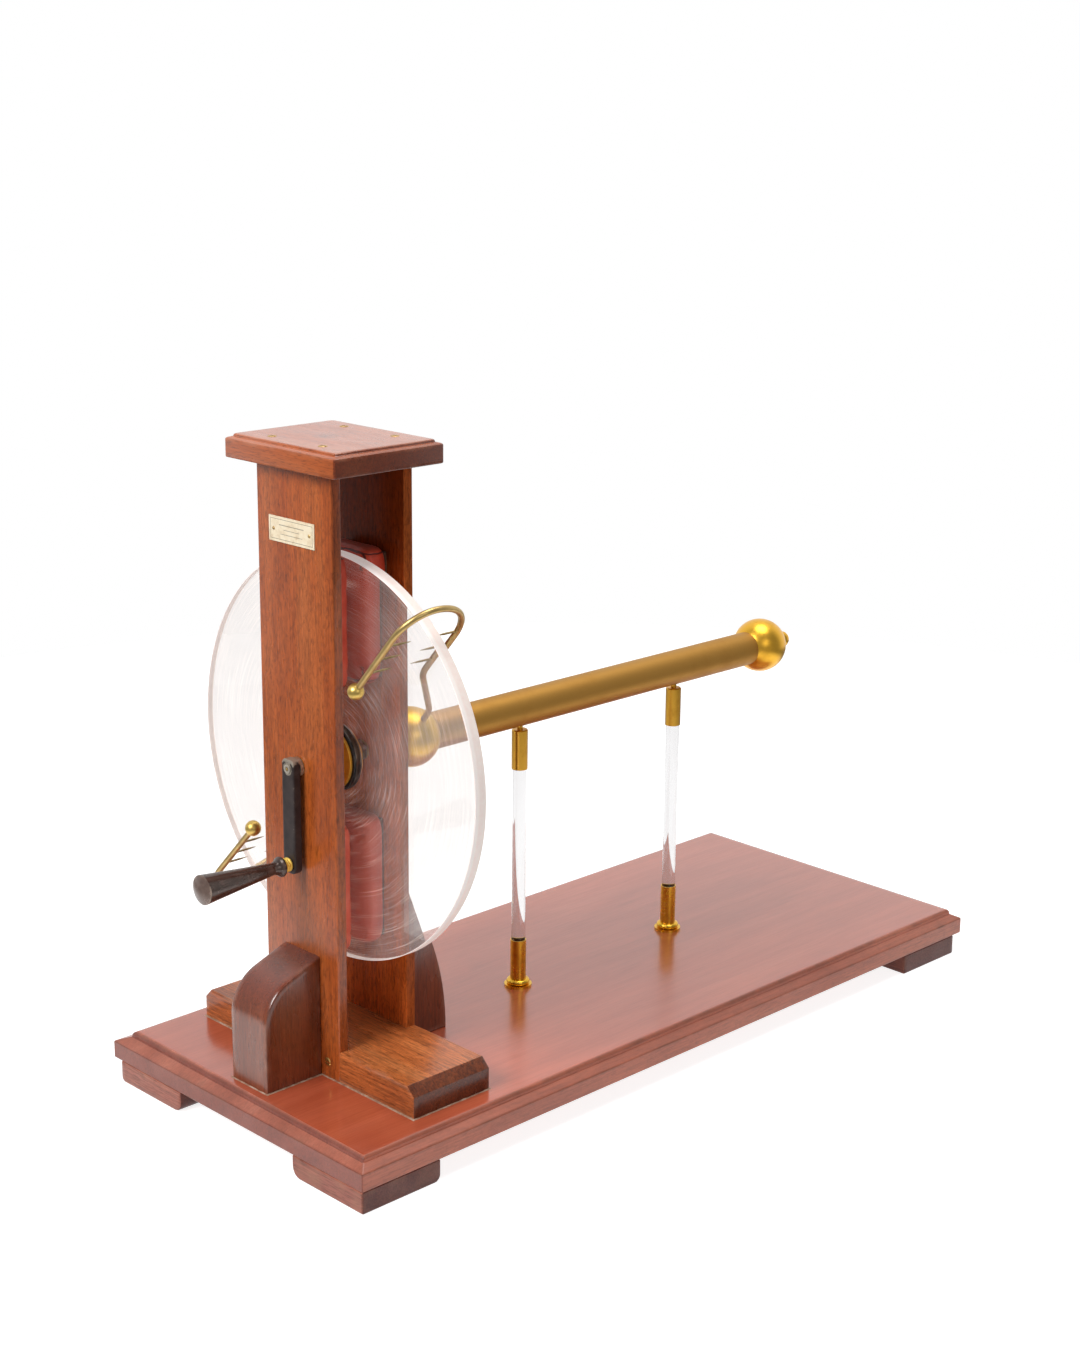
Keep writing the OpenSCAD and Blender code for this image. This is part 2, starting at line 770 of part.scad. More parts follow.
// Flat bar that hangs from the axle, its bottom end carrying the spindle
module crank_arm() {
    color("darkslategray") at_axle() difference() {
        translate([-(arm_back + arm_front) / 2, 0, -arm_throw - arm_end])
            along_x(arm_t) round_rect(arm_w, arm_throw + 2 * arm_end, arm_corner_r);
        on_x() cylinder(d = axle_end_d + 2 * fit_gap, h = 3 * arm_front, center = true);
        translate([0, 0, -arm_throw]) on_x()
            cylinder(d = spindle_d + 2 * fit_gap, h = 3 * arm_front, center = true);
    }
}

// Places a shape on the grip's axis at the arm's front face, turned so that it points to the crank's user
module at_grip() {
    translate([tower_x - arm_front, 0, grip_z]) rotate([0, -90, 0]) children();
}

// Pin riveted in the arm, with a flat head inside the grip
module crank_spindle() {
    head_z = pass_gap + ferrule_ring_l + sleeve_l + pass_gap;
    color("silver") at_grip() {
        translate([0, 0, -arm_t]) cylinder(d = spindle_d, h = arm_t + head_z + spindle_head_t);
        translate([0, 0, head_z]) cylinder(d = spindle_head_d, h = spindle_head_t);
        translate([0, 0, -arm_t - spindle_head_t]) cylinder(d = spindle_head_d, h = spindle_head_t);
    }
}

// Right half of an outline, as a revolve needs it
module right_half(l) {
    intersection() {
        children();
        translate([0, -l]) square([l, 2 * l]);
    }
}

// Turned grip: a rounded lip, a flare down to the neck, a long swell and a domed end
module crank_grip() {
    lip_r = grip_lip_d / 2;
    neck_r = grip_neck_d / 2;
    end_r = grip_end_d / 2;
    lip_round = grip_lip_l / 2;
    flare_out = lip_r - lip_round / 3;
    flare_h = sqrt(grip_flare_r * grip_flare_r - pow(grip_flare_r + neck_r - flare_out, 2));
    neck_h = grip_lip_l + flare_h;
    dome_r = (end_r * end_r + grip_dome * grip_dome) / (2 * grip_dome);
    bore_l = sleeve_l + 3 * pass_gap + spindle_head_t;
    color("black") at_grip() translate([0, 0, pass_gap + ferrule_ring_l]) difference() {
        rotate_extrude() {
            square([lip_r - lip_round, grip_lip_l]);
            translate([lip_r - lip_round, lip_round]) circle(lip_round);
            difference() {
                translate([0, lip_round]) square([flare_out, neck_h - lip_round]);
                translate([neck_r + grip_flare_r, neck_h]) circle(grip_flare_r);
            }
            polygon([[0, neck_h], [neck_r, neck_h], [end_r, grip_l], [0, grip_l]]);
            right_half(grip_l + dome_r) intersection() {
                translate([0, grip_l + grip_dome - dome_r]) circle(dome_r);
                translate([0, grip_l]) square([end_r, grip_dome]);
            }
        }
        translate([0, 0, -cut]) cylinder(d = sleeve_d + 2 * fit_gap, h = bore_l + cut);
    }
}

// Ringed collar with a sleeve that holds the grip on the spindle
module grip_ferrule() {
    ring_r = ferrule_ring / 2;
    core_r = ferrule_ring_d / 2 - ring_r;
    color("gold") at_grip() translate([0, 0, pass_gap]) difference() {
        rotate_extrude() {
            square([core_r, ferrule_ring_l]);
            square([sleeve_d / 2, ferrule_ring_l + sleeve_l]);
            for (ring = [0 : ferrule_rings - 1])
                translate([core_r, ring_r + ring * ferrule_ring]) circle(ring_r);
        }
        translate([0, 0, -cut]) cylinder(d = spindle_d + 2 * run_gap, h = ferrule_ring_l + sleeve_l + 2 * cut);
    }
}

// Point on a rounded rectangle of half sizes a and b, its sides drawn in between the corners
function cushion_point(turn, a, b) =
    let (
        y = sign(cos(turn)) * pow(abs(cos(turn)), 2 / cushion_square),
        z = sign(sin(turn)) * pow(abs(sin(turn)), 2 / cushion_square)
    )
    [y * (a - cushion_draw * (1 - z * z)), z * (b - cushion_draw * (1 - y * y))];

// Ring of points at height x, set in from the outline
function cushion_ring(x, inset, share) = [
    for (i = [0 : cushion_sides - 1])
        let (p = share * cushion_point(360 * i / cushion_sides, cushion_w / 2 - inset, cushion_h / 2 - inset))
        [x, p.x, p.y]
];

// Stuffed cushion with its flat back at the origin and its crowned face towards +X
module cushion_form() {
    shoulder = cushion_d - cushion_crown - cushion_roll;
    rolls = [for (a = [0 : 22.5 : 90]) [shoulder + cushion_roll * sin(a), cushion_roll * (1 - cos(a)), 1]];
    crowns = [for (s = [0.75, 0.5, 0.25]) [cushion_d - cushion_crown * s * s, cushion_roll, s]];
    rows = concat([[0, cushion_tuck, 1], [cushion_tuck, 0, 1]], rolls, crowns);
    n = cushion_sides;
    last = len(rows) - 1;
    points = concat(
        [for (row = rows, p = cushion_ring(row[0], row[1], row[2])) p],
        [[0, 0, 0], [cushion_d, 0, 0]]
    );
    back = len(rows) * n;
    skin = [
        for (k = [0 : last - 1], i = [0 : n - 1], half = [0, 1])
            let (a = k * n + i, d = k * n + (i + 1) % n)
            half == 0 ? [a, a + n, d + n] : [a, d + n, d]
    ];
    ends = [
        for (i = [0 : n - 1], half = [0, 1])
            let (j = (i + 1) % n)
            half == 0 ? [back, i, j] : [back + 1, last * n + j, last * n + i]
    ];
    polyhedron(points, concat(skin, ends));
}

// Places a shape on an upright's inner face, end -1 at the crank and 1 at the conductor, facing the disc
module on_upright(end, z) {
    translate([tower_x + end * board_gap / 2, 0, axis_z + z]) mirror([end == 1 ? 1 : 0, 0, 0]) children();
}

module cushion(end, z) {
    color("firebrick") on_upright(end, z) translate([backing_t, 0, 0]) cushion_form();
}

module backing(end, z) {
    color("tan") on_upright(end, z) translate([backing_t / 2, 0, 0])
        cube([backing_t, cushion_w - 2 * backing_set, cushion_h - 2 * backing_set], center = true);
}

module upper_front_cushion() {
    cushion(-1, upper_cushion_z);
}

module upper_rear_cushion() {
    cushion(1, upper_cushion_z);
}

module lower_front_cushion() {
    cushion(-1, -lower_cushion_z);
}

module lower_rear_cushion() {
    cushion(1, -lower_cushion_z);
}

module upper_front_backing() {
    backing(-1, upper_cushion_z);
}

module upper_rear_backing() {
    backing(1, upper_cushion_z);
}

module lower_front_backing() {
    backing(-1, -lower_cushion_z);
}

module lower_rear_backing() {
    backing(1, -lower_cushion_z);
}

// Turned socket: a thin flange, a bead and a sleeve for the column, drilled for its stud
module socket(x) {
    bead_r = socket_bead_r;
    bead_out = socket_flange_d / 2 - socket_flange_t - bead_r;
    color("goldenrod") translate([x, 0, base_top]) difference() {
        rotate_extrude() {
            square([socket_flange_d / 2, socket_flange_t]);
            square([bead_out, socket_flange_t + 2 * bead_r]);
            translate([bead_out, socket_flange_t + bead_r]) circle(bead_r);
            square([ferrule_d / 2, socket_h]);
        }
        translate([0, 0, column_foot]) cylinder(d = column_d + 2 * fit_gap, h = column_seat + cut);
        translate([0, 0, -cut]) cylinder(d = stud_d + 2 * fit_gap, h = stud_seat + cut);
    }
}

module front_socket() {
    socket(front_column_x);
}

module rear_socket() {
    socket(rear_column_x);
}

module column(x) {
    color("azure") translate([x, 0, base_top + column_foot]) cylinder(d = column_d, h = column_top - column_foot);
}

module front_column() {
    column(front_column_x);
}

module rear_column() {
    column(rear_column_x);
}

// Closed sleeve on the column's top, with a neck that enters the tube
module ferrule(x) {
    r = ferrule_d / 2;
    neck_end = ferrule_l + neck_l + 2 * tube_wall;
    color("goldenrod") translate([x, 0, base_top + ferrule_top - ferrule_l]) difference() {
        rotate_extrude() {
            polygon([
                [0, 0], [r, 0], [r, ferrule_l - ferrule_bevel], [r - ferrule_bevel, ferrule_l], [0, ferrule_l]
            ]);
            square([neck_d / 2, neck_end]);
        }
        translate([0, 0, -cut]) cylinder(d = column_d + 2 * fit_gap, h = column_seat + cut);
    }
}

module front_ferrule() {
    ferrule(front_column_x);
}

module rear_ferrule() {
    ferrule(rear_column_x);
}

module column_studs() {
    drop = base_t - counterbore_h + stud_nut_t;
    color("silver") at_columns() translate([0, 0, -drop]) cylinder(d = stud_d, h = drop + stud_seat);
}

module column_nuts() {
    color("silver") at_columns() translate([0, 0, counterbore_h - base_t - stud_nut_t])
        hex_nut(stud_nut_af, stud_nut_t, stud_d + 2 * fit_gap);
}

// Tube whose ends are scribed to the balls, drilled below for the necks of the ferrules
module conductor_tube() {
    l = far_ball_x - near_ball_x;
    color("darkgoldenrod") difference() {
        translate([near_ball_x, 0, axis_z]) on_x() rotate_extrude() difference() {
            translate([tube_bore / 2, 0]) square([tube_wall, l]);
            circle(d = ball_d + 2 * pass_gap);
            translate([0, l]) circle(d = ball_d + 2 * fit_gap);
        }
        at_columns() translate([0, 0, ferrule_top]) cylinder(d = neck_d + 2 * fit_gap, h = tube_d / 2);
    }
}

// Hollow ball with an open plug along +Z that fits the tube with the given gap
module ball(gap) {
    plug_r = tube_bore / 2 - gap;
    rotate_extrude() right_half(ball_d + plug_l) difference() {
        union() {
            circle(d = ball_d);
            square([plug_r, ball_d / 2 + plug_l]);
        }
        circle(d = ball_d - 2 * ball_wall);
        square([plug_r - ball_wall, ball_d / 2 + plug_l + cut]);
    }
}

module far_ball() {
    color("gold") translate([far_ball_x, 0, axis_z]) difference() {
        rotate([0, -90, 0]) ball(fit_gap);
        on_x() cylinder(d = knob_stem_d + 2 * fit_gap, h = ball_d);
    }
}

// Small ball on a stem that enters the far ball
module terminal_knob() {
    color("gold") translate([far_ball_x, 0, axis_z]) on_x() difference() {
        union() {
            translate([0, 0, ball_d / 2 - 2 * ball_wall]) cylinder(d = knob_stem_d, h = knob_d / 2);
            translate([0, 0, (ball_d + knob_d) / 2 - cut]) sphere(d = knob_d);
        }
        difference() {
            sphere(d = ball_d + 2 * fit_gap);
            cylinder(d = knob_stem_d, h = ball_d);
        }
    }
}

// Lays a comb's plane on the conductor's axis, turned from level by the given angle
module comb_plane(turn) {
    translate([0, 0, axis_z]) rotate([turn, 0, 0]) children();
}

module on_right_comb() {
    comb_plane(180 - right_comb_rise) children();
}

module on_left_comb() {
    comb_plane(-left_comb_fall) children();
}

module near_ball() {
    color("gold") difference() {
        translate([near_ball_x, 0, axis_z]) on_x() ball(run_gap);
        on_right_comb() rod_run([near_ball_x, rod_start - cut], 90, ball_d / 2, rod_d + 2 * fit_gap);
        on_left_comb() rod_run([near_ball_x, rod_start - cut], 90, ball_d / 2, rod_d + 2 * fit_gap);
    }
}

// Straight stretch of rod from p, in the direction a
module rod_run(p, a, l, d) {
    translate([p.x, p.y, 0]) rotate([0, 0, a]) on_x() cylinder(d = d, h = l);
}

// Bend of rod about c, from one direction through a turn
module rod_bend(c, r, from, turn) {
    translate([c.x, c.y, 0]) rotate([0, 0, from]) rotate_extrude(angle = turn) translate([r, 0]) circle(d = rod_d);
}

// Slight swell between a straight stretch in the direction a and a bend
module rod_joint(p, a) {
    translate([p.x, p.y, 0]) rotate([0, 0, a]) on_x() sphere(d = rod_d + 2 * rod_swell);
}

// Places of the points, each along +X from a leg's middle towards the disc
module at_points() {
    for (i = [0 : comb_points - 1]) {
        y = point_in + i * point_pitch;
        translate([front_leg_x, y, 0]) children();
        translate([rear_leg_x, y, 0]) mirror([1, 0, 0]) children();
    }
}

// Rod that leaves the ball, swings over to its rear leg, and turns back round the disc's edge
module comb_rod() {
    first = [near_ball_x - comb_bend_r, bend_start];
    second = [rear_leg_x + comb_bend_r, leg_start];
    diagonal = first + comb_bend_r * [cos(bend_turn), sin(bend_turn)];
    color("darkgoldenrod") difference() {
        union() {
            rod_run([near_ball_x, rod_start], 90, bend_start - rod_start, rod_d);
            rod_bend(first, comb_bend_r, 0, bend_turn);
            rod_joint(diagonal, 90 + bend_turn);
            rod_run(diagonal, 90 + bend_turn, bend_straight, rod_d);
            rod_joint(second - comb_bend_r * [cos(bend_turn), sin(bend_turn)], 90 + bend_turn);
            rod_bend(second, comb_bend_r, 180, bend_turn);
            rod_run([rear_leg_x, leg_start], 90, comb_end - comb_rear_r - leg_start, rod_d);
            rod_bend([rear_leg_x - comb_rear_r, comb_end - comb_rear_r], comb_rear_r, 0, 90);
            rod_bend([front_leg_x + comb_front_r, comb_end - comb_front_r], comb_front_r, 90, 90);
            rod_run([front_leg_x, end_ball_y], 90, comb_end - comb_front_r - end_ball_y, rod_d);
        }
        at_points() on_x() cylinder(d = point_d + 2 * fit_gap, h = rod_d);
    }
}

module comb_point_set() {
    color("gray") at_points() on_x() {
        cylinder(d = point_d, h = point_l - point_taper);
        translate([0, 0, point_l - point_taper]) cylinder(d1 = point_d, d2 = point_tip_d, h = point_taper);
    }
}

module comb_ball() {
    color("gold") translate([front_leg_x, end_ball_y, 0]) difference() {
        sphere(d = comb_ball_d);
        rod_run([0, 0], 90, comb_ball_d, rod_d + 2 * fit_gap);
    }
}

module right_comb() {
    on_right_comb() comb_rod();
}

module left_comb() {
    on_left_comb() comb_rod();
}

module right_comb_points() {
    on_right_comb() comb_point_set();
}

module left_comb_points() {
    on_left_comb() comb_point_set();
}

module right_comb_ball() {
    on_right_comb() comb_ball();
}

module left_comb_ball() {
    on_left_comb() comb_ball();
}

base_board();
front_right_foot();
front_left_foot();
rear_right_foot();
rear_left_foot();
cross_block();
front_upright();
rear_upright();
front_buttress();
rear_buttress();
cap_board();
cap_screws();
upright_screws();
tower_screws();
name_plate();
plate_pins();
front_bush();
rear_bush();
axle();
glass_disc();
front_hub();
rear_hub();
front_washer();
rear_washer();
hub_nut();
hub_pin();
crank_collar();
crank_arm();
crank_spindle();
crank_grip();
grip_ferrule();
upper_front_cushion();
upper_rear_cushion();
lower_front_cushion();
lower_rear_cushion();
upper_front_backing();
upper_rear_backing();
lower_front_backing();
lower_rear_backing();
front_socket();
rear_socket();
front_column();
rear_column();
front_ferrule();
rear_ferrule();
column_studs();
column_nuts();
conductor_tube();
far_ball();
terminal_knob();
near_ball();
right_comb();
left_comb();
right_comb_points();
left_comb_points();
right_comb_ball();
left_comb_ball();
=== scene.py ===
import math

import bmesh
import bpy
from mathutils import Matrix, Vector


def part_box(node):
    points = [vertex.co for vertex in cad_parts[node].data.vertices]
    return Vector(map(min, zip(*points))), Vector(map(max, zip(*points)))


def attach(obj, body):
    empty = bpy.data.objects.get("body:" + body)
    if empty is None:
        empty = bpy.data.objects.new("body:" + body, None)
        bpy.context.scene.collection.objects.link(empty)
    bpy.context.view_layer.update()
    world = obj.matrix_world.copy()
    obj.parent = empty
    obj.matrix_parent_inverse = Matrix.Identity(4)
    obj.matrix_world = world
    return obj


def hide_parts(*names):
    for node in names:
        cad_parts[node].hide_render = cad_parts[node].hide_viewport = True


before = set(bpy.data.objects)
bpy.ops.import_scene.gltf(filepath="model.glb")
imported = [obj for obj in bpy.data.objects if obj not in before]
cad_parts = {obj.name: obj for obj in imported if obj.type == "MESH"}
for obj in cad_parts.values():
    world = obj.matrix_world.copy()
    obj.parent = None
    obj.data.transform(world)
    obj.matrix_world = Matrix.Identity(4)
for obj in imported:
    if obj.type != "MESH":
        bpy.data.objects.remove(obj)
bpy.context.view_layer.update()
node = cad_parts

# The camera stands off the crank end's right corner, a little above the conductor, with a long lens.
# Its place was solved from the machine's straight edges, and it rolls by half a degree.
base_low, base_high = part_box("base_board")
eye = Vector(((base_low.x + base_high.x) / 2 - 1.2113, -1.1960, 0.7539))
view_turn, view_rise, view_roll = (math.radians(a) for a in (-44.53, 15.45, 0.57))
back = Vector((math.sin(view_turn) * math.cos(view_rise), -math.cos(view_turn) * math.cos(view_rise),
               math.sin(view_rise)))
right = Vector((math.cos(view_turn), math.sin(view_turn), 0))
up = back.cross(right)
rolled_right = right * math.cos(view_roll) + up * math.sin(view_roll)
rolled_up = up * math.cos(view_roll) - right * math.sin(view_roll)
camera = bpy.data.objects.new("camera", bpy.data.cameras.new("camera"))
camera.matrix_world = Matrix.Translation(eye) @ Matrix((rolled_right, rolled_up, back)).transposed().to_4x4()
camera.data.sensor_fit = "VERTICAL"
camera.data.sensor_height = 36
camera.data.lens = 59.946
camera.data.clip_end = 50
bpy.context.collection.objects.link(camera)
bpy.context.scene.camera = camera
bpy.context.scene.view_settings.view_transform = "Standard"


# The studio: a white cove all round, a large soft lamp over the crank end, and weaker ones from above and the side.
# The machine stands on a sheet of white paper; polished faces see the darker table beyond the sheet's edge.
def put(tree, kind, inputs=None, **settings):
    """Adds a shader node; an input is a value or another node's socket."""
    made = tree.nodes.new("ShaderNode" + kind)
    for key, value in settings.items():
        setattr(made, key, value)
    for key, value in (inputs or {}).items():
        if isinstance(value, bpy.types.NodeSocket):
            tree.links.new(value, made.inputs[key])
        else:
            made.inputs[key].default_value = value
    return made


def calc(tree, operation, *values, clamp=False):
    """Result of one sum on values or sockets."""
    return put(tree, "Math", dict(enumerate(values)), operation=operation, use_clamp=clamp).outputs[0]


def graded(tree, value, start, end, low, high):
    """Brings a value from start..end to low..high, and holds it there."""
    return put(tree, "MapRange", {0: value, 1: start, 2: end, 3: low, 4: high}).outputs[0]


def seen_directly(tree):
    """1 for what the lens sees straight, in a mirror or through glass."""
    path = put(tree, "LightPath").outputs
    seen = calc(tree, "MAXIMUM", path["Is Camera Ray"], path["Is Glossy Ray"])
    return calc(tree, "MAXIMUM", seen, path["Is Transmission Ray"])


world = bpy.data.worlds.new("cove")
bpy.context.scene.world = world
world.use_nodes = True
sky = world.node_tree
sky.nodes.clear()
lit = put(sky, "Background", {"Color": (0.96, 0.97, 1.0, 1), "Strength": 0.22})
heading = put(sky, "TexCoord").outputs["Generated"]
ahead = put(sky, "VectorMath", {0: heading, 1: (0.7, 0.71, 0.0)}, operation="DOT_PRODUCT").outputs["Value"]
wall = graded(sky, ahead, -0.1, 0.45, 0.3, 1.0)
path = put(sky, "LightPath")
through = calc(sky, "MULTIPLY", path.outputs["Is Transmission Ray"], 0.93)
straight = calc(sky, "MAXIMUM", path.outputs["Is Camera Ray"], through)
level = calc(sky, "MAXIMUM", wall, straight)
shown = put(sky, "Background", {"Color": (1, 1, 1, 1), "Strength": level})
cove = put(sky, "MixShader", {0: seen_directly(sky), 1: lit.outputs[0], 2: shown.outputs[0]})
put(sky, "OutputWorld", {"Surface": cove.outputs[0]})


def soft_lamp(name, place, aim, size, power):
    lamp = bpy.data.lights.new(name, "AREA")
    lamp.shape = "DISK"
    lamp.size = size
    lamp.energy = power
    holder = bpy.data.objects.new(name, lamp)
    holder.location = place
    holder.rotation_euler = (Vector(aim) - Vector(place)).to_track_quat("-Z", "Y").to_euler()
    bpy.context.collection.objects.link(holder)


soft_lamp("key_lamp", (-2.3, 0.1, 1.9), (-0.15, 0, 0.22), 1.3, 66)
soft_lamp("top_lamp", (0.3, -0.2, 2.6), (0.05, 0, 0.1), 1.6, 36)
soft_lamp("side_lamp", (-0.7, -2.4, 1.3), (0, 0, 0.2), 1.2, 7)

floor_mesh = bpy.data.meshes.new("floor")
sheet_r = 1.3
turns = [math.radians(a) for a in range(0, 360, 5)]
rim = [(sheet_r * math.cos(a), sheet_r * math.sin(a), 0) for a in turns]
floor_mesh.from_pydata(rim, [], [range(len(rim))])
floor = bpy.data.objects.new("floor", floor_mesh)
bpy.context.collection.objects.link(floor)
paper = bpy.data.materials.new("white_paper")
paper.use_nodes = True
tree = paper.node_tree
tree.nodes.clear()
path = put(tree, "LightPath").outputs
through = path["Is Transmission Ray"]
white, white_through_glass = 0.84, 0.62
glow_level = graded(tree, through, 0.0, 1.0, white, white_through_glass)
mirrored = calc(tree, "SUBTRACT", path["Is Glossy Ray"], through, clamp=True)
spot = put(tree, "NewGeometry").outputs["Position"]
away = put(tree, "VectorMath", {0: spot}, operation="LENGTH").outputs["Value"]
sheet_fades, table_starts, table_dark = 0.55, 0.8, 0.85
beyond = graded(tree, away, sheet_fades, table_starts, 0.0, table_dark)
kept = calc(tree, "SUBTRACT", 1.0, calc(tree, "MULTIPLY", beyond, mirrored))
matt = put(tree, "BsdfDiffuse", {"Color": calc(tree, "MULTIPLY", kept, 0.5)}).outputs[0]
glow = put(tree, "Emission", {"Color": (1, 1, 1, 1), "Strength": calc(tree, "MULTIPLY", glow_level, kept)})
lifted = put(tree, "AddShader", {0: matt, 1: glow.outputs[0]})
sheet = put(tree, "MixShader", {0: seen_directly(tree), 1: matt, 2: lifted.outputs[0]})
put(tree, "OutputMaterial", {"Surface": sheet.outputs[0]})
floor_mesh.materials.append(paper)


# Base board: one wide mahogany board, planed, with a rounded step and a sloping band run round its upper edge.
# Its top is polished thin and even, so it mirrors the cove softly; the moulded edge is rougher, with painted shade on
# the step and sloping band of the long sides and painted light on its upright faces.
def rounded_box(low, high, corner, steps=3):
    """Outline of a rectangle with round corners, counter-clockwise."""
    outline = []
    for x, y, start in ((high[0], high[1], 0), (low[0], high[1], 90), (low[0], low[1], 180), (high[0], low[1], 270)):
        cx = x - math.copysign(corner, x - (low[0] + high[0]) / 2)
        cy = y - math.copysign(corner, y - (low[1] + high[1]) / 2)
        for i in range(steps + 1):
            a = math.radians(start + 90 * i / steps)
            outline.append((cx + corner * math.cos(a), cy + corner * math.sin(a)))
    return outline


def loft(rings, axis):
    """Skin through rings of (outline, level, wear) that are stacked along an axis, closed at both ends."""
    bm = bmesh.new()
    wear = bm.verts.layers.float.new("wear")
    rows = []
    for outline, level, worn in rings:
        row = []
        for p, q in outline:
            vert = bm.verts.new({"x": (level, p, q), "y": (p, level, q), "z": (p, q, level)}[axis])
            vert[wear] = worn
            row.append(vert)
        rows.append(row)
    for a, b in zip(rows, rows[1:]):
        for i in range(len(a)):
            j = (i + 1) % len(a)
            bm.faces.new((a[i], a[j], b[j], b[i]))
    bm.faces.new(rows[0])
    bm.faces.new(rows[-1])
    return bm


def fit(name, bm, finish, body, slot, *stands_for, crease=24):
    """Makes a piece from a mesh: shaded smooth over its curves, with its flats left flat."""
    bmesh.ops.recalc_face_normals(bm, faces=bm.faces)
    flat_area = 4e-4
    for face in bm.faces:
        face.smooth = True
    for edge in bm.edges:
        turn = edge.calc_face_angle(0)
        wide = max((f.calc_area() for f in edge.link_faces), default=0) > flat_area
        edge.smooth = not (turn > math.radians(crease) or (wide and turn > math.radians(1)))
    mesh = bpy.data.meshes.new(name)
    bm.to_mesh(mesh)
    bm.free()
    piece = bpy.data.objects.new(name, mesh)
    bpy.context.collection.objects.link(piece)
    for coat in finish if isinstance(finish, (list, tuple)) else [finish]:
        mesh.materials.append(coat)
    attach(piece, body)
    if stands_for:
        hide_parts(*stands_for)
    return piece


def shader(name):
    """A new finish, with its tree, its shader and the place of each point on the machine."""
    finish = bpy.data.materials.new(name)
    finish.use_nodes = True
    tree = finish.node_tree
    return finish, tree, tree.nodes["Principled BSDF"], put(tree, "TexCoord").outputs["Object"]


def give(bsdf, quality, value):
    """Sets one quality of a finish, to a value or from a socket."""
    if isinstance(value, bpy.types.NodeSocket):
        bsdf.id_data.links.new(value, bsdf.inputs[quality])
    else:
        bsdf.inputs[quality].default_value = value


def mottle(tree, place, scale, detail, rough=0.5, bend=0.0):
    """Uneven patches, from 0 to 1."""
    return put(tree, "TexNoise", {"Vector": place, "Scale": scale, "Detail": detail, "Roughness": rough,
                                  "Distortion": bend}).outputs["Fac"]


def laid_over(tree, under, over, share):
    """One colour over a share of another."""
    return put(tree, "Mix", {0: share, 6: under, 7: over}, data_type="RGBA").outputs[2]


def glazed(tree, under, glaze, share=1.0):
    """A colour seen through a thin coat of another, which darkens or warms it."""
    return put(tree, "Mix", {0: share, 6: under, 7: glaze}, data_type="RGBA", blend_type="MULTIPLY").outputs[2]


def reopened(finish):
    """Tree, shader and present colour of a finish that is to be glazed further."""
    bsdf = finish.node_tree.nodes["Principled BSDF"]
    return finish.node_tree, bsdf, bsdf.inputs["Base Color"].links[0].from_socket


def ramp(tree, source, *stops):
    """Colour ramp over a value, from pairs of place and colour."""
    made = put(tree, "ValToRGB", {0: source})
    bar = made.color_ramp.elements
    for i, (place, colour) in enumerate(stops):
        stop = bar[i] if i < 2 else bar.new(place)
        stop.position = place
        stop.color = (*colour, 1) if len(colour) == 3 else colour
    return made.outputs[0]


def grey(value):
    return (value, value, value)


def mahogany(name, grain, dark, mid, light, gloss=0.3, seed=0.0, pores=0.55, streaks=0.3, worn=(0.42, 0.2, 0.12),
             polish=0.2, rub=0.7, end_tone=0.4, ripple=0.12, flecks=0.0, pore_depth=0.18, swing=1.0,
             specular=0.5):
    """Polished mahogany with its grain along one axis: broad bands, fine streaks, short dark pores, dark end grain
    and rubbed edges."""
    finish, tree, bsdf, place = shader(name)

    def stretched(across, along, detail, rough=0.55, bend=0.35):
        scale = [across] * 3
        scale["xyz".index(grain)] = along
        spread = put(tree, "Mapping", {"Vector": place, "Location": (seed, seed * 1.7, seed * 0.6), "Scale": scale})
        return mottle(tree, spread.outputs[0], 1.0, detail, rough, bend)

    bands = ramp(tree, stretched(34, 5, 3), (0.3, dark), (0.5, mid), (0.72, light))
    fine = ramp(tree, stretched(620, 24, 3), (0.32, grey(1 - streaks)), (0.62, grey(1.08)))
    pore = ramp(tree, stretched(1500, 120, 2), (0.36, grey(1 - pores)), (0.46, grey(1)))
    fleck = ramp(tree, stretched(220, 110, 5, 0.65, 1.4), (0.36, grey(1 - flecks)), (0.52, grey(1)))
    wood = glazed(tree, glazed(tree, glazed(tree, bands, fine), pore), fleck)
    facing = put(tree, "SeparateXYZ", {0: put(tree, "TexCoord").outputs["Normal"]})
    ends = calc(tree, "ABSOLUTE", facing.outputs["xyz".index(grain)])
    end_grain = (end_tone, end_tone * 0.8, end_tone * 0.82)
    wood = glazed(tree, wood, ramp(tree, ends, (0.12, grey(1)), (0.65, end_grain)))
    edge = put(tree, "Attribute", attribute_name="wear").outputs["Fac"]
    patchy = mottle(tree, place, 55.0, 5.0)
    broken = calc(tree, "MULTIPLY", edge, ramp(tree, patchy, (0.45, grey(0)), (0.72, grey(rub))))
    give(bsdf, "Base Color", laid_over(tree, wood, (*worn, 1), broken))
    sheen = ramp(tree, stretched(60, 14, 4), (0.3, grey(gloss - 0.04 * swing)), (0.7, grey(gloss + 0.08 * swing)))
    give(bsdf, "Roughness", sheen)
    relief = put(tree, "Bump", {"Strength": pore_depth, "Distance": 0.0002, "Height": pore})
    swell = put(tree, "Bump", {"Strength": ripple, "Distance": 0.0006, "Height": stretched(26, 9, 2),
                               "Normal": relief.outputs[0]})
    give(bsdf, "Normal", swell.outputs[0])
    give(bsdf, "Coat Weight", polish)
    give(bsdf, "Coat Roughness", 0.16)
    give(bsdf, "Specular IOR Level", specular)
    return finish


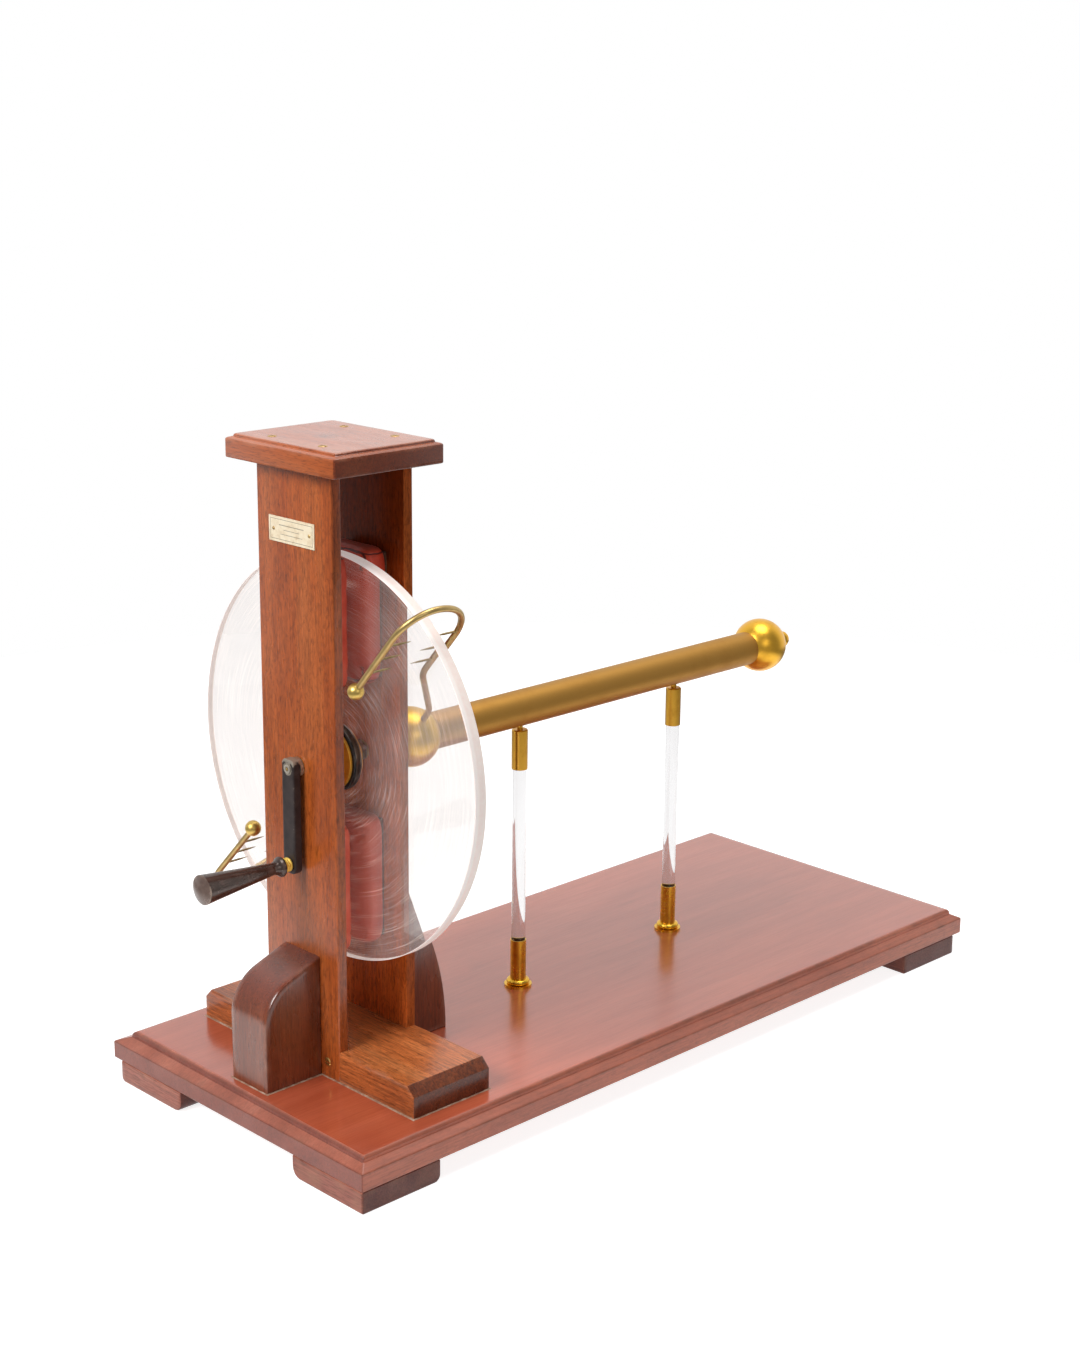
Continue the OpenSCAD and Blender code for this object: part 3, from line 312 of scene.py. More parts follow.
def moulded_board(low, high, band_w, band_h, step_r, step_h, ease, skew=0.0, corner=0.0009):
    """Board with a rounded step over a sloping band; ease rounds its other edges, and skew widens the band towards
    the front left corner, where the plane ran off."""
    def outline(i):
        points = rounded_box((low.x + i, low.y + i), (high.x - i, high.y - i), corner)
        return [(x + skew * i, y - skew * i) if 4 <= k < 8 else (x, y) for k, (x, y) in enumerate(points)]

    top = high.z
    section = [(ease, low.z), (ease * 0.3, low.z + ease * 0.3), (0, low.z + ease)]
    section += [(0, low.z + ease * 4), (0, top - band_h - ease * 3), (0, top - band_h - ease)]
    section += [(ease * 0.3, top - band_h - ease * 0.2), (ease * 1.2, top - band_h + ease * 0.45)]
    section += [(band_w - step_r - 0.0004, top - step_h - 0.0002), (band_w - step_r, top - step_h + 0.0003)]
    for a in (math.radians(15 * i) for i in range(7)):
        section.append((band_w - step_r * math.cos(a), top - step_r + step_r * math.sin(a)))
    section += [(band_w + 0.004, top)]
    worn = [0.6, 1, 1, 0, 0, 1, 1, 0.5, 0.1, 0.1] + [0.2, 0.5, 0.8, 1, 1, 0.9, 0.6] + [0]
    return [(outline(i), z, w) for (i, z), w in zip(section, worn)]


def bored(piece, holes):
    """Drills round holes, each a centre, radius, depth and axis, into a piece."""
    drills = bmesh.new()
    for centre, radius, depth, axis in holes:
        turn = Vector((0, 0, 1)).rotation_difference(Vector(axis)).to_matrix().to_4x4()
        bmesh.ops.create_cone(drills, cap_ends=True, segments=40, radius1=radius, radius2=radius, depth=depth * 2,
                              matrix=Matrix.Translation(centre) @ turn)
    mesh = bpy.data.meshes.new("drills")
    drills.to_mesh(mesh)
    drills.free()
    cutter = bpy.data.objects.new("drills", mesh)
    bpy.context.collection.objects.link(cutter)
    cut = piece.modifiers.new("holes", "BOOLEAN")
    cut.object = cutter
    cut.solver = "EXACT"
    bpy.context.view_layer.update()
    drilled = bpy.data.meshes.new_from_object(piece.evaluated_get(bpy.context.evaluated_depsgraph_get()))
    piece.modifiers.clear()
    piece.data = drilled
    bpy.data.objects.remove(cutter)


base_wood = mahogany("base_mahogany", "x", (0.36, 0.068, 0.028), (0.41, 0.082, 0.036), (0.45, 0.098, 0.045),
                     gloss=0.26, seed=1.3, pores=0.06, streaks=0.05, worn=(0.3, 0.11, 0.07), polish=0.8, rub=0.5,
                     end_tone=0.46, ripple=0.02, pore_depth=0.012, swing=0.15)
edge_wood = mahogany("base_edge_mahogany", "x", (0.39, 0.1, 0.05), (0.48, 0.135, 0.072), (0.55, 0.185, 0.11),
                     gloss=0.36, seed=6.1, pores=0.16, streaks=0.13, worn=(0.2, 0.065, 0.035), polish=0.2, rub=0.75,
                     end_tone=0.42, ripple=0.08, flecks=0.14)
tree, bsdf, plain = reopened(edge_wood)
# Painted light and shade on the moulded edge: upright faces are lightened, and the upward-sloping faces of the long
# sides are darkened as the step's shade.
facing = put(tree, "SeparateXYZ", {0: put(tree, "TexCoord").outputs["Normal"]})
sideways = calc(tree, "ABSOLUTE", facing.outputs[1])
in_moulding = calc(tree, "MULTIPLY", sideways, facing.outputs[2])
wear_and_painted_light = ramp(tree, facing.outputs[2], (0.08, (1.18, 1.14, 1.12)), (0.4, grey(1.0)))
painted_cove_shade = ramp(tree, in_moulding, (0.1, grey(1.0)), (0.4, (0.76, 0.7, 0.66)))
tone = glazed(tree, wear_and_painted_light, painted_cove_shade)
toned = glazed(tree, plain, tone)
give(bsdf, "Base Color", toned)
base_mould = {"band_w": 0.0105, "band_h": 0.0079, "step_r": 0.0032, "step_h": 0.0044, "ease": 0.0008, "skew": 0.36}
board = loft(moulded_board(base_low, base_high, **base_mould), "z")
board.normal_update()
for face in board.faces:
    face.material_index = 0 if abs(face.normal.z) > 0.98 else 1
base = fit("base_wood", board, [base_wood, edge_wood], "frame", "mahogany", "base_board")
stud_low, stud_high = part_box("column_studs")
stud_r, nut_hole_r, nut_hole_h = 0.003, 0.009, 0.009
column_x = [stud_low.x + stud_r, stud_high.x - stud_r]
bored(base, [(Vector((x, 0, base_low.z)), nut_hole_r, nut_hole_h, (0, 0, 1)) for x in column_x])


# Feet: four blocks of darker mahogany, glued and nailed under the corners, rounded where hands reach in to lift.
# They were cut by eye, so two of them stand back from the board's edge.
def inset(outline, d):
    """Outline moved inwards by d."""
    count, moved = len(outline), []
    for i in range(count):
        a, b, c = outline[i - 1], outline[i], outline[(i + 1) % count]
        n1 = Vector((a[1] - b[1], b[0] - a[0])).normalized()
        n2 = Vector((b[1] - c[1], c[0] - b[0])).normalized()
        shift = (n1 + n2) * (d / (1 + n1.dot(n2)))
        moved.append((b[0] + shift.x, b[1] + shift.y))
    return moved


def filleted(corners, radii, steps=4):
    """Outline through corners, counter-clockwise, each rounded by its own radius."""
    outline = []
    for i, (p, r) in enumerate(zip(corners, radii)):
        p, a, b = Vector(p), Vector(corners[i - 1]), Vector(corners[(i + 1) % len(corners)])
        u, v = (a - p).normalized(), (b - p).normalized()
        half = u.angle(v) / 2
        centre = p + (u + v).normalized() * (r / math.sin(half))
        start = (p + u * (r / math.tan(half))) - centre
        end = (p + v * (r / math.tan(half))) - centre
        a0 = math.atan2(start.y, start.x)
        turn = (math.atan2(end.y, end.x) - a0 + math.pi) % (2 * math.pi) - math.pi
        for k in range(steps + 1):
            t = a0 + turn * k / steps
            outline.append((centre.x + r * math.cos(t), centre.y + r * math.sin(t)))
    return outline


def slab(corners, radii, start, end, ease, axis, reach=0.0035, steps=4):
    """Solid of one outline along an axis, with its end edges eased and a strip of wear along them."""
    def outline(d):
        shrunk = inset(corners, d)
        return filleted(shrunk, [max(r - d, 0.0001) for r in radii], steps) if radii else shrunk

    rim = [(ease, 0.0, 1), (ease * 0.3, ease * 0.3, 1), (0.0, ease, 1), (0.0, ease + reach, 0)]
    rings = [(outline(ease + reach), start, 0)]
    rings += [(outline(i), start + z, w) for i, z, w in rim]
    rings += [(outline(i), end - z, w) for i, z, w in reversed(rim)]
    rings += [(outline(ease + reach), end, 0)]
    return loft(rings, axis)


def sides(low, high):
    """Corners of a rectangle, counter-clockwise."""
    return [(low[0], low[1]), (high[0], low[1]), (high[0], high[1]), (low[0], high[1])]


foot_wood = mahogany("foot_mahogany", "y", (0.25, 0.07, 0.046), (0.36, 0.118, 0.08), (0.43, 0.165, 0.115),
                     gloss=0.34, seed=7.9, pores=0.4, streaks=0.35, polish=0.06, rub=0.4, end_tone=0.44, specular=0.3)
lift_r, top_r, foot_ease, toe_r = 0.008, 0.0009, 0.0012, 0.0045
for foot in ("front_right_foot", "front_left_foot", "rear_right_foot", "rear_left_foot"):
    low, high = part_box(foot)
    radii = [0.0012, lift_r, top_r, top_r] if "right" in foot else [lift_r, 0.004, top_r, top_r]
    if foot == "front_right_foot":
        rings = []
        for i, x in ((foot_ease, 0.0), (foot_ease / 3, foot_ease / 3), (0.0, foot_ease)):
            outline = filleted(inset(sides(low.yz, high.yz), i), [max(r - i, 0.0001) for r in radii])
            rings.append((outline, low.x + x, 1))
        for t in (math.radians(15 * k) for k in range(7)):
            raised = sides((low.y, low.z + toe_r * (1 - math.cos(t))), high.yz)
            rings.append((filleted(raised, radii), high.x - toe_r * (1 - math.sin(t)), 0.5))
        block = loft(rings, "x")
    else:
        block = slab(sides(low.yz, high.yz), radii, low.x, high.x, foot_ease, "x")
    fit(foot + "_wood", block, foot_wood, "frame", "dark_mahogany", foot)

# Cross block: a stout mahogany rail, bevelled at both ends, screwed to the base from below.
# Its grain runs from end to end, and a pale line of old glue and dust lies along its foot.
low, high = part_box("cross_block")
block_wood = mahogany("block_mahogany", "y", (0.38, 0.095, 0.024), (0.55, 0.155, 0.042), (0.62, 0.22, 0.075),
                      gloss=0.26, seed=3.1, pores=0.5, streaks=0.5, polish=0.14, rub=0.5, end_tone=0.34, flecks=0.2,
                      specular=0.35)
bevel = 0.007
corners = [(low.y, low.z), (high.y, low.z), (high.y, high.z - bevel), (high.y - bevel, high.z),
           (low.y + bevel, high.z), (low.y, high.z - bevel)]
planed_off = 0.0003
block = slab(corners, [0.0004] * 2 + [0.0008] * 4, low.x + planed_off, high.x - planed_off, 0.001, "x")
fit("cross_block_wood", block, block_wood, "frame", "mahogany", "cross_block")


def dust_line(name, low, high, floor, reach, seed):
    """Low uneven fillet of old glue and dust round the foot of a piece that stands on a board."""
    lines, under, pitch = [], -0.0004, 0.0025
    for out, lift in ((under, 0.0), (reach, 0.0), (reach * 0.35, reach * 0.45), (under, reach * 0.7)):
        ring = []
        corners = sides((low.x - out, low.y - out), (high.x + out, high.y + out))
        for i, (x, y) in enumerate(corners):
            u, v = corners[(i + 1) % 4]
            steps = int(max(abs(u - x), abs(v - y)) / pitch) + 1
            for k in range(steps):
                t = k / steps
                ring.append((x + (u - x) * t, y + (v - y) * t, lift))
        lines.append(ring)
    bm = bmesh.new()
    count = min(len(ring) for ring in lines)
    rows = []
    for ring in lines:
        row = []
        for k in range(count):
            x, y, lift = ring[k * len(ring) // count]
            uneven = 0.75 + 0.25 * math.sin(k * 1.7 + seed) * math.sin(k * 0.37 + seed * 2)
            row.append(bm.verts.new((x, y, floor + lift * uneven)))
        rows.append(row)
    for a, b in zip(rows, rows[1:] + rows[:1]):
        for k in range(count):
            j = (k + 1) % count
            bm.faces.new((a[k], a[j], b[j], b[k]))
    fit(name, bm, old_glue, "frame", None, crease=70)


old_glue, tree, bsdf, place = shader("old_glue_and_dust")
cloud = mottle(tree, place, 150.0, 6.0, 0.7)
give(bsdf, "Base Color",
     ramp(tree, cloud, (0.36, (0.2, 0.085, 0.05)), (0.52, (0.34, 0.2, 0.13)), (0.7, (0.5, 0.38, 0.3))))
give(bsdf, "Roughness", ramp(tree, cloud, (0.3, grey(0.6)), (0.7, grey(0.9))))
dust_line("block_dust", low, high, base_high.z, 0.0011, 0.6)

# Uprights: two thin boards of the best striped mahogany, let flush into the cross block and screwed to it.
# Their long edges are a little rubbed by hands; the rear one's inner face carries painted shade towards the top, for
# the cap's shadow, and painted light lower down.
for upright, seed in (("front_upright", 0.4), ("rear_upright", 5.2)):
    low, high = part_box(upright)
    wood = mahogany(upright + "_mahogany", "z", (0.33, 0.062, 0.01), (0.42, 0.09, 0.016), (0.47, 0.12, 0.027),
                    gloss=0.24, seed=seed, pores=0.4, streaks=0.25, worn=(0.22, 0.075, 0.03), polish=0.0, rub=0.6,
                    flecks=0.32, specular=0.08 if upright == "rear_upright" else 0.5)
    if upright == "rear_upright":
        tree, bsdf, plain = reopened(wood)
        coords = put(tree, "TexCoord")
        lift = put(tree, "SeparateXYZ", {0: coords.outputs["Object"]}).outputs[2]
        share = graded(tree, lift, low.z + 0.06, high.z - 0.06, 0.0, 1.0)
        # Painted light and shade on the rear upright's inner face: darker towards the top for the cap's shadow, lighter
        # lower down where more light reaches it.
        stain_and_painted_shade = ramp(tree, share, (0.0, (1.5, 1.4, 1.35)), (0.6, (1.5, 1.3, 1.2)), (0.98, (0.56, 0.4, 0.3)))
        turned_in = put(tree, "SeparateXYZ", {0: coords.outputs["Normal"]}).outputs[0]
        on_inner = graded(tree, turned_in, -0.6, -0.95, 0.0, 1.0)
        painted_inner_light_and_shade = glazed(tree, plain, stain_and_painted_shade, on_inner)
        give(bsdf, "Base Color", painted_inner_light_and_shade)
    board = slab(sides(low.xy, high.xy), [0.0011] * 4, low.z, high.z, 0.0006, "z")
    fit(upright + "_wood", board, wood, "frame", "mahogany", upright)


# Buttresses: sawn from thicker, darker stock and glued to base and uprights.
# The front one has a round shoulder, the rear one rises in a long curve.
def arc(centre, radius, start, end, steps):
    """Points of an arc, from start to end in degrees."""
    turns = [math.radians(start + (end - start) * i / steps) for i in range(steps + 1)]
    return [(centre[0] + radius * math.cos(a), centre[1] + radius * math.sin(a)) for a in turns]


low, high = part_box("front_buttress")
deep, fall, shoulder = high.x - low.x, math.radians(20), 0.034
corner_z = high.z - deep * math.tan(fall)
tangent = shoulder * math.tan((math.pi / 2 - fall) / 2)
curve = arc((low.x + shoulder, corner_z - tangent), shoulder, 110, 180, 14)
outline = [(low.x, low.z), (high.x, low.z), (high.x, high.z)] + curve
buttress_wood = mahogany("buttress_mahogany", "z", (0.12, 0.025, 0.007), (0.19, 0.042, 0.013), (0.26, 0.068, 0.026),
                         gloss=0.26, seed=2.2, pores=0.4, streaks=0.3, worn=(0.4, 0.2, 0.13), polish=0.5, rub=0.35,
                         end_tone=0.9)
fit("front_buttress_wood", slab(outline, None, low.y, high.y, 0.0016, "y"), buttress_wood, "frame", "dark_mahogany",
    "front_buttress")
dust_line("buttress_dust", low, high, base_high.z, 0.001, 2.9)
low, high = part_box("rear_buttress")
sweep = 0.2
curve = arc((high.x - sweep, low.z), sweep, 0, 21, 10)
outline = [(low.x, low.z)] + curve + [(low.x, high.z)]
fit("rear_buttress_wood", slab(outline, None, low.y, high.y, 0.0014, "y"), buttress_wood, "frame", "dark_mahogany",
    "rear_buttress")

# Cap board: a small moulded board like the base, screwed down into the ends of the uprights.
# A pin knot shows in the middle of its top.
low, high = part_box("cap_board")
cap_wood = mahogany("cap_mahogany", "y", (0.29, 0.055, 0.008), (0.37, 0.075, 0.012), (0.42, 0.105, 0.026),
                    gloss=0.28, seed=9.4, pores=0.45, streaks=0.2, worn=(0.4, 0.15, 0.08), polish=0.5, end_tone=0.5,
                    specular=0.4)
tree, bsdf, plain = reopened(cap_wood)
place = put(tree, "TexCoord").outputs["Object"]
off_centre = 0.004
knot_spot = ((low.x + high.x) / 2 - off_centre, (low.y + high.y) / 2 + off_centre, high.z)
from_knot = put(tree, "VectorMath", {0: place, 1: knot_spot}, operation="DISTANCE").outputs["Value"]
wobble = mottle(tree, place, 260.0, 2.0)
knot_r = calc(tree, "MULTIPLY_ADD", wobble, 0.003, from_knot)
per_knot_ring = 80.0
knot = ramp(tree, calc(tree, "MULTIPLY", knot_r, per_knot_ring), (0.2, (0.36, 0.2, 0.15)), (0.3, grey(0.75)),
            (0.42, (0.62, 0.5, 0.45)), (0.54, grey(0.9)), (0.7, grey(0.72)), (0.95, grey(1)))
knotted = glazed(tree, plain, knot)
give(bsdf, "Base Color", knotted)
cap_mould = {"band_w": 0.0055, "band_h": 0.0031, "step_r": 0.0014, "step_h": 0.0018, "ease": 0.0009, "corner": 0.0024}
fit("cap_wood", loft(moulded_board(low, high, **cap_mould), "z"), cap_wood, "frame", "mahogany", "cap_board")


# Screws, pins and bushes: plain turned brass with sawn slots, gone brown in the slots and along the rims.
# The cap's screws and the plate's pins were never cleaned and are the dullest.
def brass(name, bright, tarnish, rough=0.24, spots=60.0, lines=None, depth=0.08, metal=1.0):
    """Lacquered brass: a bright metal with browner patches, and turning lines across an axis where it has them."""
    finish, tree, bsdf, place = shader(name)
    cloud = mottle(tree, place, spots, 6.0, 0.62)
    give(bsdf, "Base Color", ramp(tree, cloud, (0.28, tarnish), (0.5, bright)))
    give(bsdf, "Roughness", ramp(tree, cloud, (0.28, grey(rough + 0.12)), (0.55, grey(rough))))
    give(bsdf, "Metallic", metal)
    fine = mottle(tree, place, 900.0, 3.0)
    if lines:
        scale = [30.0] * 3
        scale["xyz".index(lines)] = 2600.0
        turned = put(tree, "Mapping", {"Vector": place, "Scale": scale})
        fine = mottle(tree, turned.outputs[0], 1.0, 2.0)
    relief = put(tree, "Bump", {"Strength": depth, "Distance": 0.0002, "Height": fine})
    give(bsdf, "Normal", relief.outputs[0])
    return finish


def dress(finish, *names):
    """Gives CAD pieces a finish."""
    for name in names:
        node[name].data.materials.clear()
        node[name].data.materials.append(finish)


screw_brass = brass("screw_brass", (0.72, 0.48, 0.16), (0.42, 0.25, 0.08), rough=0.36, spots=420.0)
dress(screw_brass, "upright_screws", "front_bush", "rear_bush")
old_screw_brass = brass("old_screw_brass", (0.5, 0.34, 0.15), (0.22, 0.13, 0.06), rough=0.5, spots=420.0)
dress(old_screw_brass, "cap_screws", "plate_pins")

# Hidden steel: wood screws from below, studs and nuts that hold the columns down, and the nut and pin of the hub.
# All are turned and threaded bar, bright when new and now dull brown in patches.
steel, tree, bsdf, place = shader("dull_steel")
cloud = mottle(tree, place, 320.0, 6.0)
give(bsdf, "Base Color", ramp(tree, cloud, (0.35, (0.16, 0.13, 0.11)), (0.6, (0.42, 0.41, 0.39))))
give(bsdf, "Roughness", ramp(tree, cloud, (0.35, grey(0.6)), (0.65, grey(0.36))))
give(bsdf, "Metallic", 1.0)
dress(steel, "tower_screws", "column_studs", "column_nuts", "hub_nut", "hub_pin")

# Name plate: a thin ivory-coloured card with a printed border, held by two brass pins.
# Three plain rules cross it, faded with age, and it carries no words.
low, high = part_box("name_plate")
ivory, tree, bsdf, place = shader("ivory_card")
centre = (low + high) / 2
half = (high - low) / 2
spot = put(tree, "VectorMath", {0: place, 1: centre}, operation="SUBTRACT").outputs[0]
axes = put(tree, "SeparateXYZ", {0: put(tree, "VectorMath", {0: spot}, operation="ABSOLUTE").outputs[0]})


def border(distance, width):
    """1 on a printed frame at that distance from the card's edge."""
    from_side = calc(tree, "SUBTRACT", half.y - distance, axes.outputs[1])
    from_end = calc(tree, "SUBTRACT", half.z - distance, axes.outputs[2])
    nearest = calc(tree, "MINIMUM", from_side, from_end)
    off = calc(tree, "ABSOLUTE", nearest)
    return calc(tree, "LESS_THAN", off, width / 2)


def ruled(level, reach, width):
    """1 on a ruled line across the card."""
    height = put(tree, "SeparateXYZ", {0: spot}).outputs[2]
    off = calc(tree, "SUBTRACT", height, level)
    off = calc(tree, "ABSOLUTE", off)
    on_line = calc(tree, "LESS_THAN", off, width / 2)
    within = calc(tree, "LESS_THAN", axes.outputs[1], reach)
    return calc(tree, "MULTIPLY", on_line, within)


printed = border(0.0019, 0.0004)
for rule in (ruled(0.0032, 0.0135, 0.0006), ruled(0.0, 0.0085, 0.0004), ruled(-0.0032, 0.012, 0.0004)):
    printed = calc(tree, "MAXIMUM", printed, rule)
printed = calc(tree, "MULTIPLY", printed, 0.7)
cloud = mottle(tree, place, 180.0, 7.0, 0.7)
aged = ramp(tree, cloud, (0.3, (0.64, 0.5, 0.32)), (0.5, (0.82, 0.7, 0.5)), (0.7, (0.88, 0.79, 0.61)))
inked = laid_over(tree, aged, (0.09, 0.06, 0.04, 1), printed)
give(bsdf, "Base Color", inked)
give(bsdf, "Roughness", ramp(tree, cloud, (0.3, grey(0.5)), (0.7, grey(0.34))))
dress(ivory, "name_plate")


# Cushions: red leather stretched over stuffing on a small board, folded over at both ends like a parcel.
# Their faces press on the disc; the folds' cut edges are dark.
def leather(name, low, high, facing, seed, folds, reds):
    """Red hide, with the dark cut edges of its folds along both ends and down the corner that faces the disc."""
    finish, tree, bsdf, place = shader(name)
    shifted = put(tree, "Mapping", {"Vector": place, "Location": (seed, seed * 0.7, seed * 1.9)}).outputs[0]
    cloud = mottle(tree, shifted, 45.0, 6.0, 0.6)
    hide = ramp(tree, cloud, *zip((0.3, 0.52, 0.74), reds))
    grime = put(tree, "Attribute", attribute_name="grime").outputs["Fac"]
    soiled = laid_over(tree, hide, (0.13, 0.075, 0.06, 1), grime)
    axes = put(tree, "SeparateXYZ", {0: place})
    wobble = mottle(tree, shifted, 90.0, 2.0)
    drift = calc(tree, "SUBTRACT", wobble, 0.5)

    def slit(axis, level, width):
        """1 along an uneven cut at one level of an axis."""
        bent = calc(tree, "MULTIPLY_ADD", drift, 0.003, axes.outputs[axis])
        off = calc(tree, "SUBTRACT", bent, level)
        off = calc(tree, "ABSOLUTE", off)
        return graded(tree, off, width, width * 0.4, 0.0, 1.0)

    def either(a, b):
        return calc(tree, "MAXIMUM", a, b)

    ends = either(slit(2, high.z - 0.0032, 0.0007), slit(2, low.z + 0.0032, 0.0007))
    corner = slit(0, (high.x if facing > 0 else low.x) - facing * 0.0042, 0.0006)
    mid_z = calc(tree, "SUBTRACT", axes.outputs[2], (low.z + high.z) / 2)
    tall = calc(tree, "ABSOLUTE", mid_z)
    near_end = calc(tree, "GREATER_THAN", tall, (high.z - low.z) / 2 - 0.014)
    corner = calc(tree, "MULTIPLY", corner, near_end)
    cut = either(ends, corner)
    cut = calc(tree, "MULTIPLY", cut, folds)
    folded = laid_over(tree, soiled, (0.03, 0.012, 0.01, 1), cut)
    give(bsdf, "Base Color", folded)
    give(bsdf, "Roughness", ramp(tree, cloud, (0.3, grey(0.62)), (0.7, grey(0.42))))
    cells = put(tree, "TexVoronoi", {"Vector": shifted, "Scale": 950.0}).outputs["Distance"]
    grain = put(tree, "Bump", {"Strength": 0.3, "Distance": 0.0002, "Height": cells})
    crease = mottle(tree, shifted, 130.0, 4.0)
    soft = put(tree, "Bump", {"Strength": 0.25, "Distance": 0.0008, "Height": crease, "Normal": grain.outputs[0]})
    gap = put(tree, "Bump", {"Strength": 0.5, "Distance": 0.0008, "Height": cut, "Normal": soft.outputs[0]},
              invert=True)
    give(bsdf, "Normal", gap.outputs[0])
    return finish


def squircle(turn, a, b, power=6.0):
    """Point of a stuffed outline: a rectangle with full corners, whose sides are drawn in between them."""
    c, s = math.cos(turn), math.sin(turn)
    y = math.copysign(abs(c) ** (2 / power), c)
    z = math.copysign(abs(s) ** (2 / power), s)
    draw = 0.0014
    return y * (a - draw * (1 - z * z)), z * (b - draw * (1 - y * y))


def cushion_skin(low, high, facing, seed):
    """Stuffed form with a flat back, rolled edges, a crowned face and cross creases pressed into it."""
    count, mid = 112, (low + high) / 2
    half_w, half_h, depth = 0.0275, 0.05, high.x - low.x
    crown, roll, tuck, crease_w, soiled = 0.003, 0.006, 0.0015, 0.0011, 0.004
    shoulder = depth - crown - roll
    rows = [(0.0, tuck, 1.0), (tuck * 0.3, tuck * 0.3, 1.0), (tuck, 0.0, 1.0)]
    rows += [(tuck + (shoulder - tuck) * t, -0.0005 * math.sin(math.pi * t), 1.0) for t in (0.2, 0.4, 0.6, 0.8, 1.0)]
    rows += [(shoulder + roll * math.sin(t), roll * (1 - math.cos(t)), 1.0)
             for t in (math.radians(x) for x in (11, 22, 34, 45, 56, 67, 79, 90))]
    inwards = (0.94, 0.88, 0.8, 0.72, 0.64, 0.56, 0.48, 0.4, 0.32, 0.24, 0.16, 0.08)
    rows += [(depth - crown * s * s, roll, s) for s in inwards]
    creases = [(0.036 * math.sin(seed * 3 + k * 2.1) + 0.008 * k - 0.016,
                0.00035 + 0.00022 * math.sin(seed + k * 1.7) ** 2, 0.12 * math.sin(seed * 2 + k)) for k in range(6)]
    bm = bmesh.new()
    grime = bm.verts.layers.float.new("grime")
    base_x = low.x if facing > 0 else high.x
    grid = []
    for x, i, share in rows:
        ring = []
        for k in range(count):
            y, z = squircle(2 * math.pi * k / count, half_w - i, half_h - i)
            y, z = y * share, z * share
            press = sum(d * math.exp(-((z - c - t * y) / crease_w) ** 2) for c, d, t in creases) if x > tuck else 0
            front = max(0.0, min(1.0, (x - shoulder * 0.6) / (depth * 0.3)))
            vert = bm.verts.new((base_x + facing * max(0.0, x - press * front), mid.y + y, mid.z + z))
            end = max(0.0, (abs(z) - half_h + soiled) / soiled)
            vert[grime] = min(1.0, 0.75 * end)
            ring.append(vert)
        grid.append(ring)
    for p, q in zip(grid, grid[1:]):
        for k in range(count):
            j = (k + 1) % count
            bm.faces.new((p[k], p[j], q[j], q[k]))
    bm.faces.new(grid[0])
    bm.faces.new(grid[-1])
    return bm


def stuffed(pad, low, high, facing):
    """Presses stuffing into the skin: a short cloth simulation, held at the tacked back and kept off disc and board."""
    start = [v.co.copy() for v in pad.data.vertices]
    back_x = low.x if facing > 0 else high.x
    tacked = pad.vertex_groups.new(name="tacked")
    tacked.add([i for i, p in enumerate(start) if abs(p.x - back_x) < 0.002], 1.0, "REPLACE")
    cloth = pad.modifiers.new("stuffing", "CLOTH")
    cloth.settings.quality = 6
    cloth.settings.mass = 0.3
    cloth.settings.tension_stiffness = 12
    cloth.settings.compression_stiffness = 12
    cloth.settings.shear_stiffness = 4
    cloth.settings.bending_stiffness = 1.5
    cloth.settings.use_pressure = True
    cloth.settings.uniform_pressure_force = 4
    cloth.settings.vertex_group_mass = "tacked"
    cloth.settings.effector_weights.gravity = 0
    cloth.collision_settings.use_collision = False
    last = 20
    cloth.point_cache.frame_start, cloth.point_cache.frame_end = 1, last
    for frame_number in range(1, last + 1):
        bpy.context.scene.frame_set(frame_number)
    filled = pad.evaluated_get(bpy.context.evaluated_depsgraph_get()).to_mesh()
    moved = [v.co.copy() for v in filled.vertices]
    pad.modifiers.clear()
    bpy.context.scene.frame_set(1)
    most = 0.0012
    for vert, old, new in zip(pad.data.vertices, start, moved):
        step = new - old
        if step.length > most:
            step *= most / step.length
        place = old + step
        place.x = min(max(place.x, low.x), high.x)
        vert.co = place
    pad.data.update()


deep_reds = (0.52, 0.04, 0.014), (0.66, 0.062, 0.024), (0.74, 0.115, 0.06)
# The lower cushions' paler reds are painted light, for the light that reaches them through the disc's haze.
lit_paler_reds = (0.62, 0.085, 0.045), (0.76, 0.125, 0.07), (0.82, 0.19, 0.12)
for cushion, facing, seed in (("upper_front_cushion", 1, 0.3), ("upper_rear_cushion", -1, 1.1),
                              ("lower_front_cushion", 1, 2.4), ("lower_rear_cushion", -1, 3.7)):
    low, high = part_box(cushion)
    folds, reds = (0.85, deep_reds) if "upper" in cushion else (0.2, lit_paler_reds)
    hide = leather(cushion + "_red_leather", low, high, facing, seed, folds, reds)
    skin = cushion_skin(low, high, facing, seed)
    pad = fit(cushion + "_leather", skin, hide, "frame", "red_leather", cushion, crease=60)
    stuffed(pad, low, high, facing)

# Backing boards: thin plain deal, on which the cushions were made up before they were glued to the uprights.
# They are planed and stained dark but never polished, so they stay matt.
deal = mahogany("backing_deal", "z", (0.05, 0.018, 0.008), (0.085, 0.03, 0.014), (0.12, 0.045, 0.02), gloss=0.6,
                seed=4.4)
for backing in ("upper_front_backing", "upper_rear_backing", "lower_front_backing", "lower_rear_backing"):
    low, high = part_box(backing)
    board = slab(sides(low.yz, high.yz), [0.001] * 4, low.x, high.x, 0.0004, "x", reach=0.001)
    fit(backing + "_wood", board, deal, "frame", "backing_wood", backing)


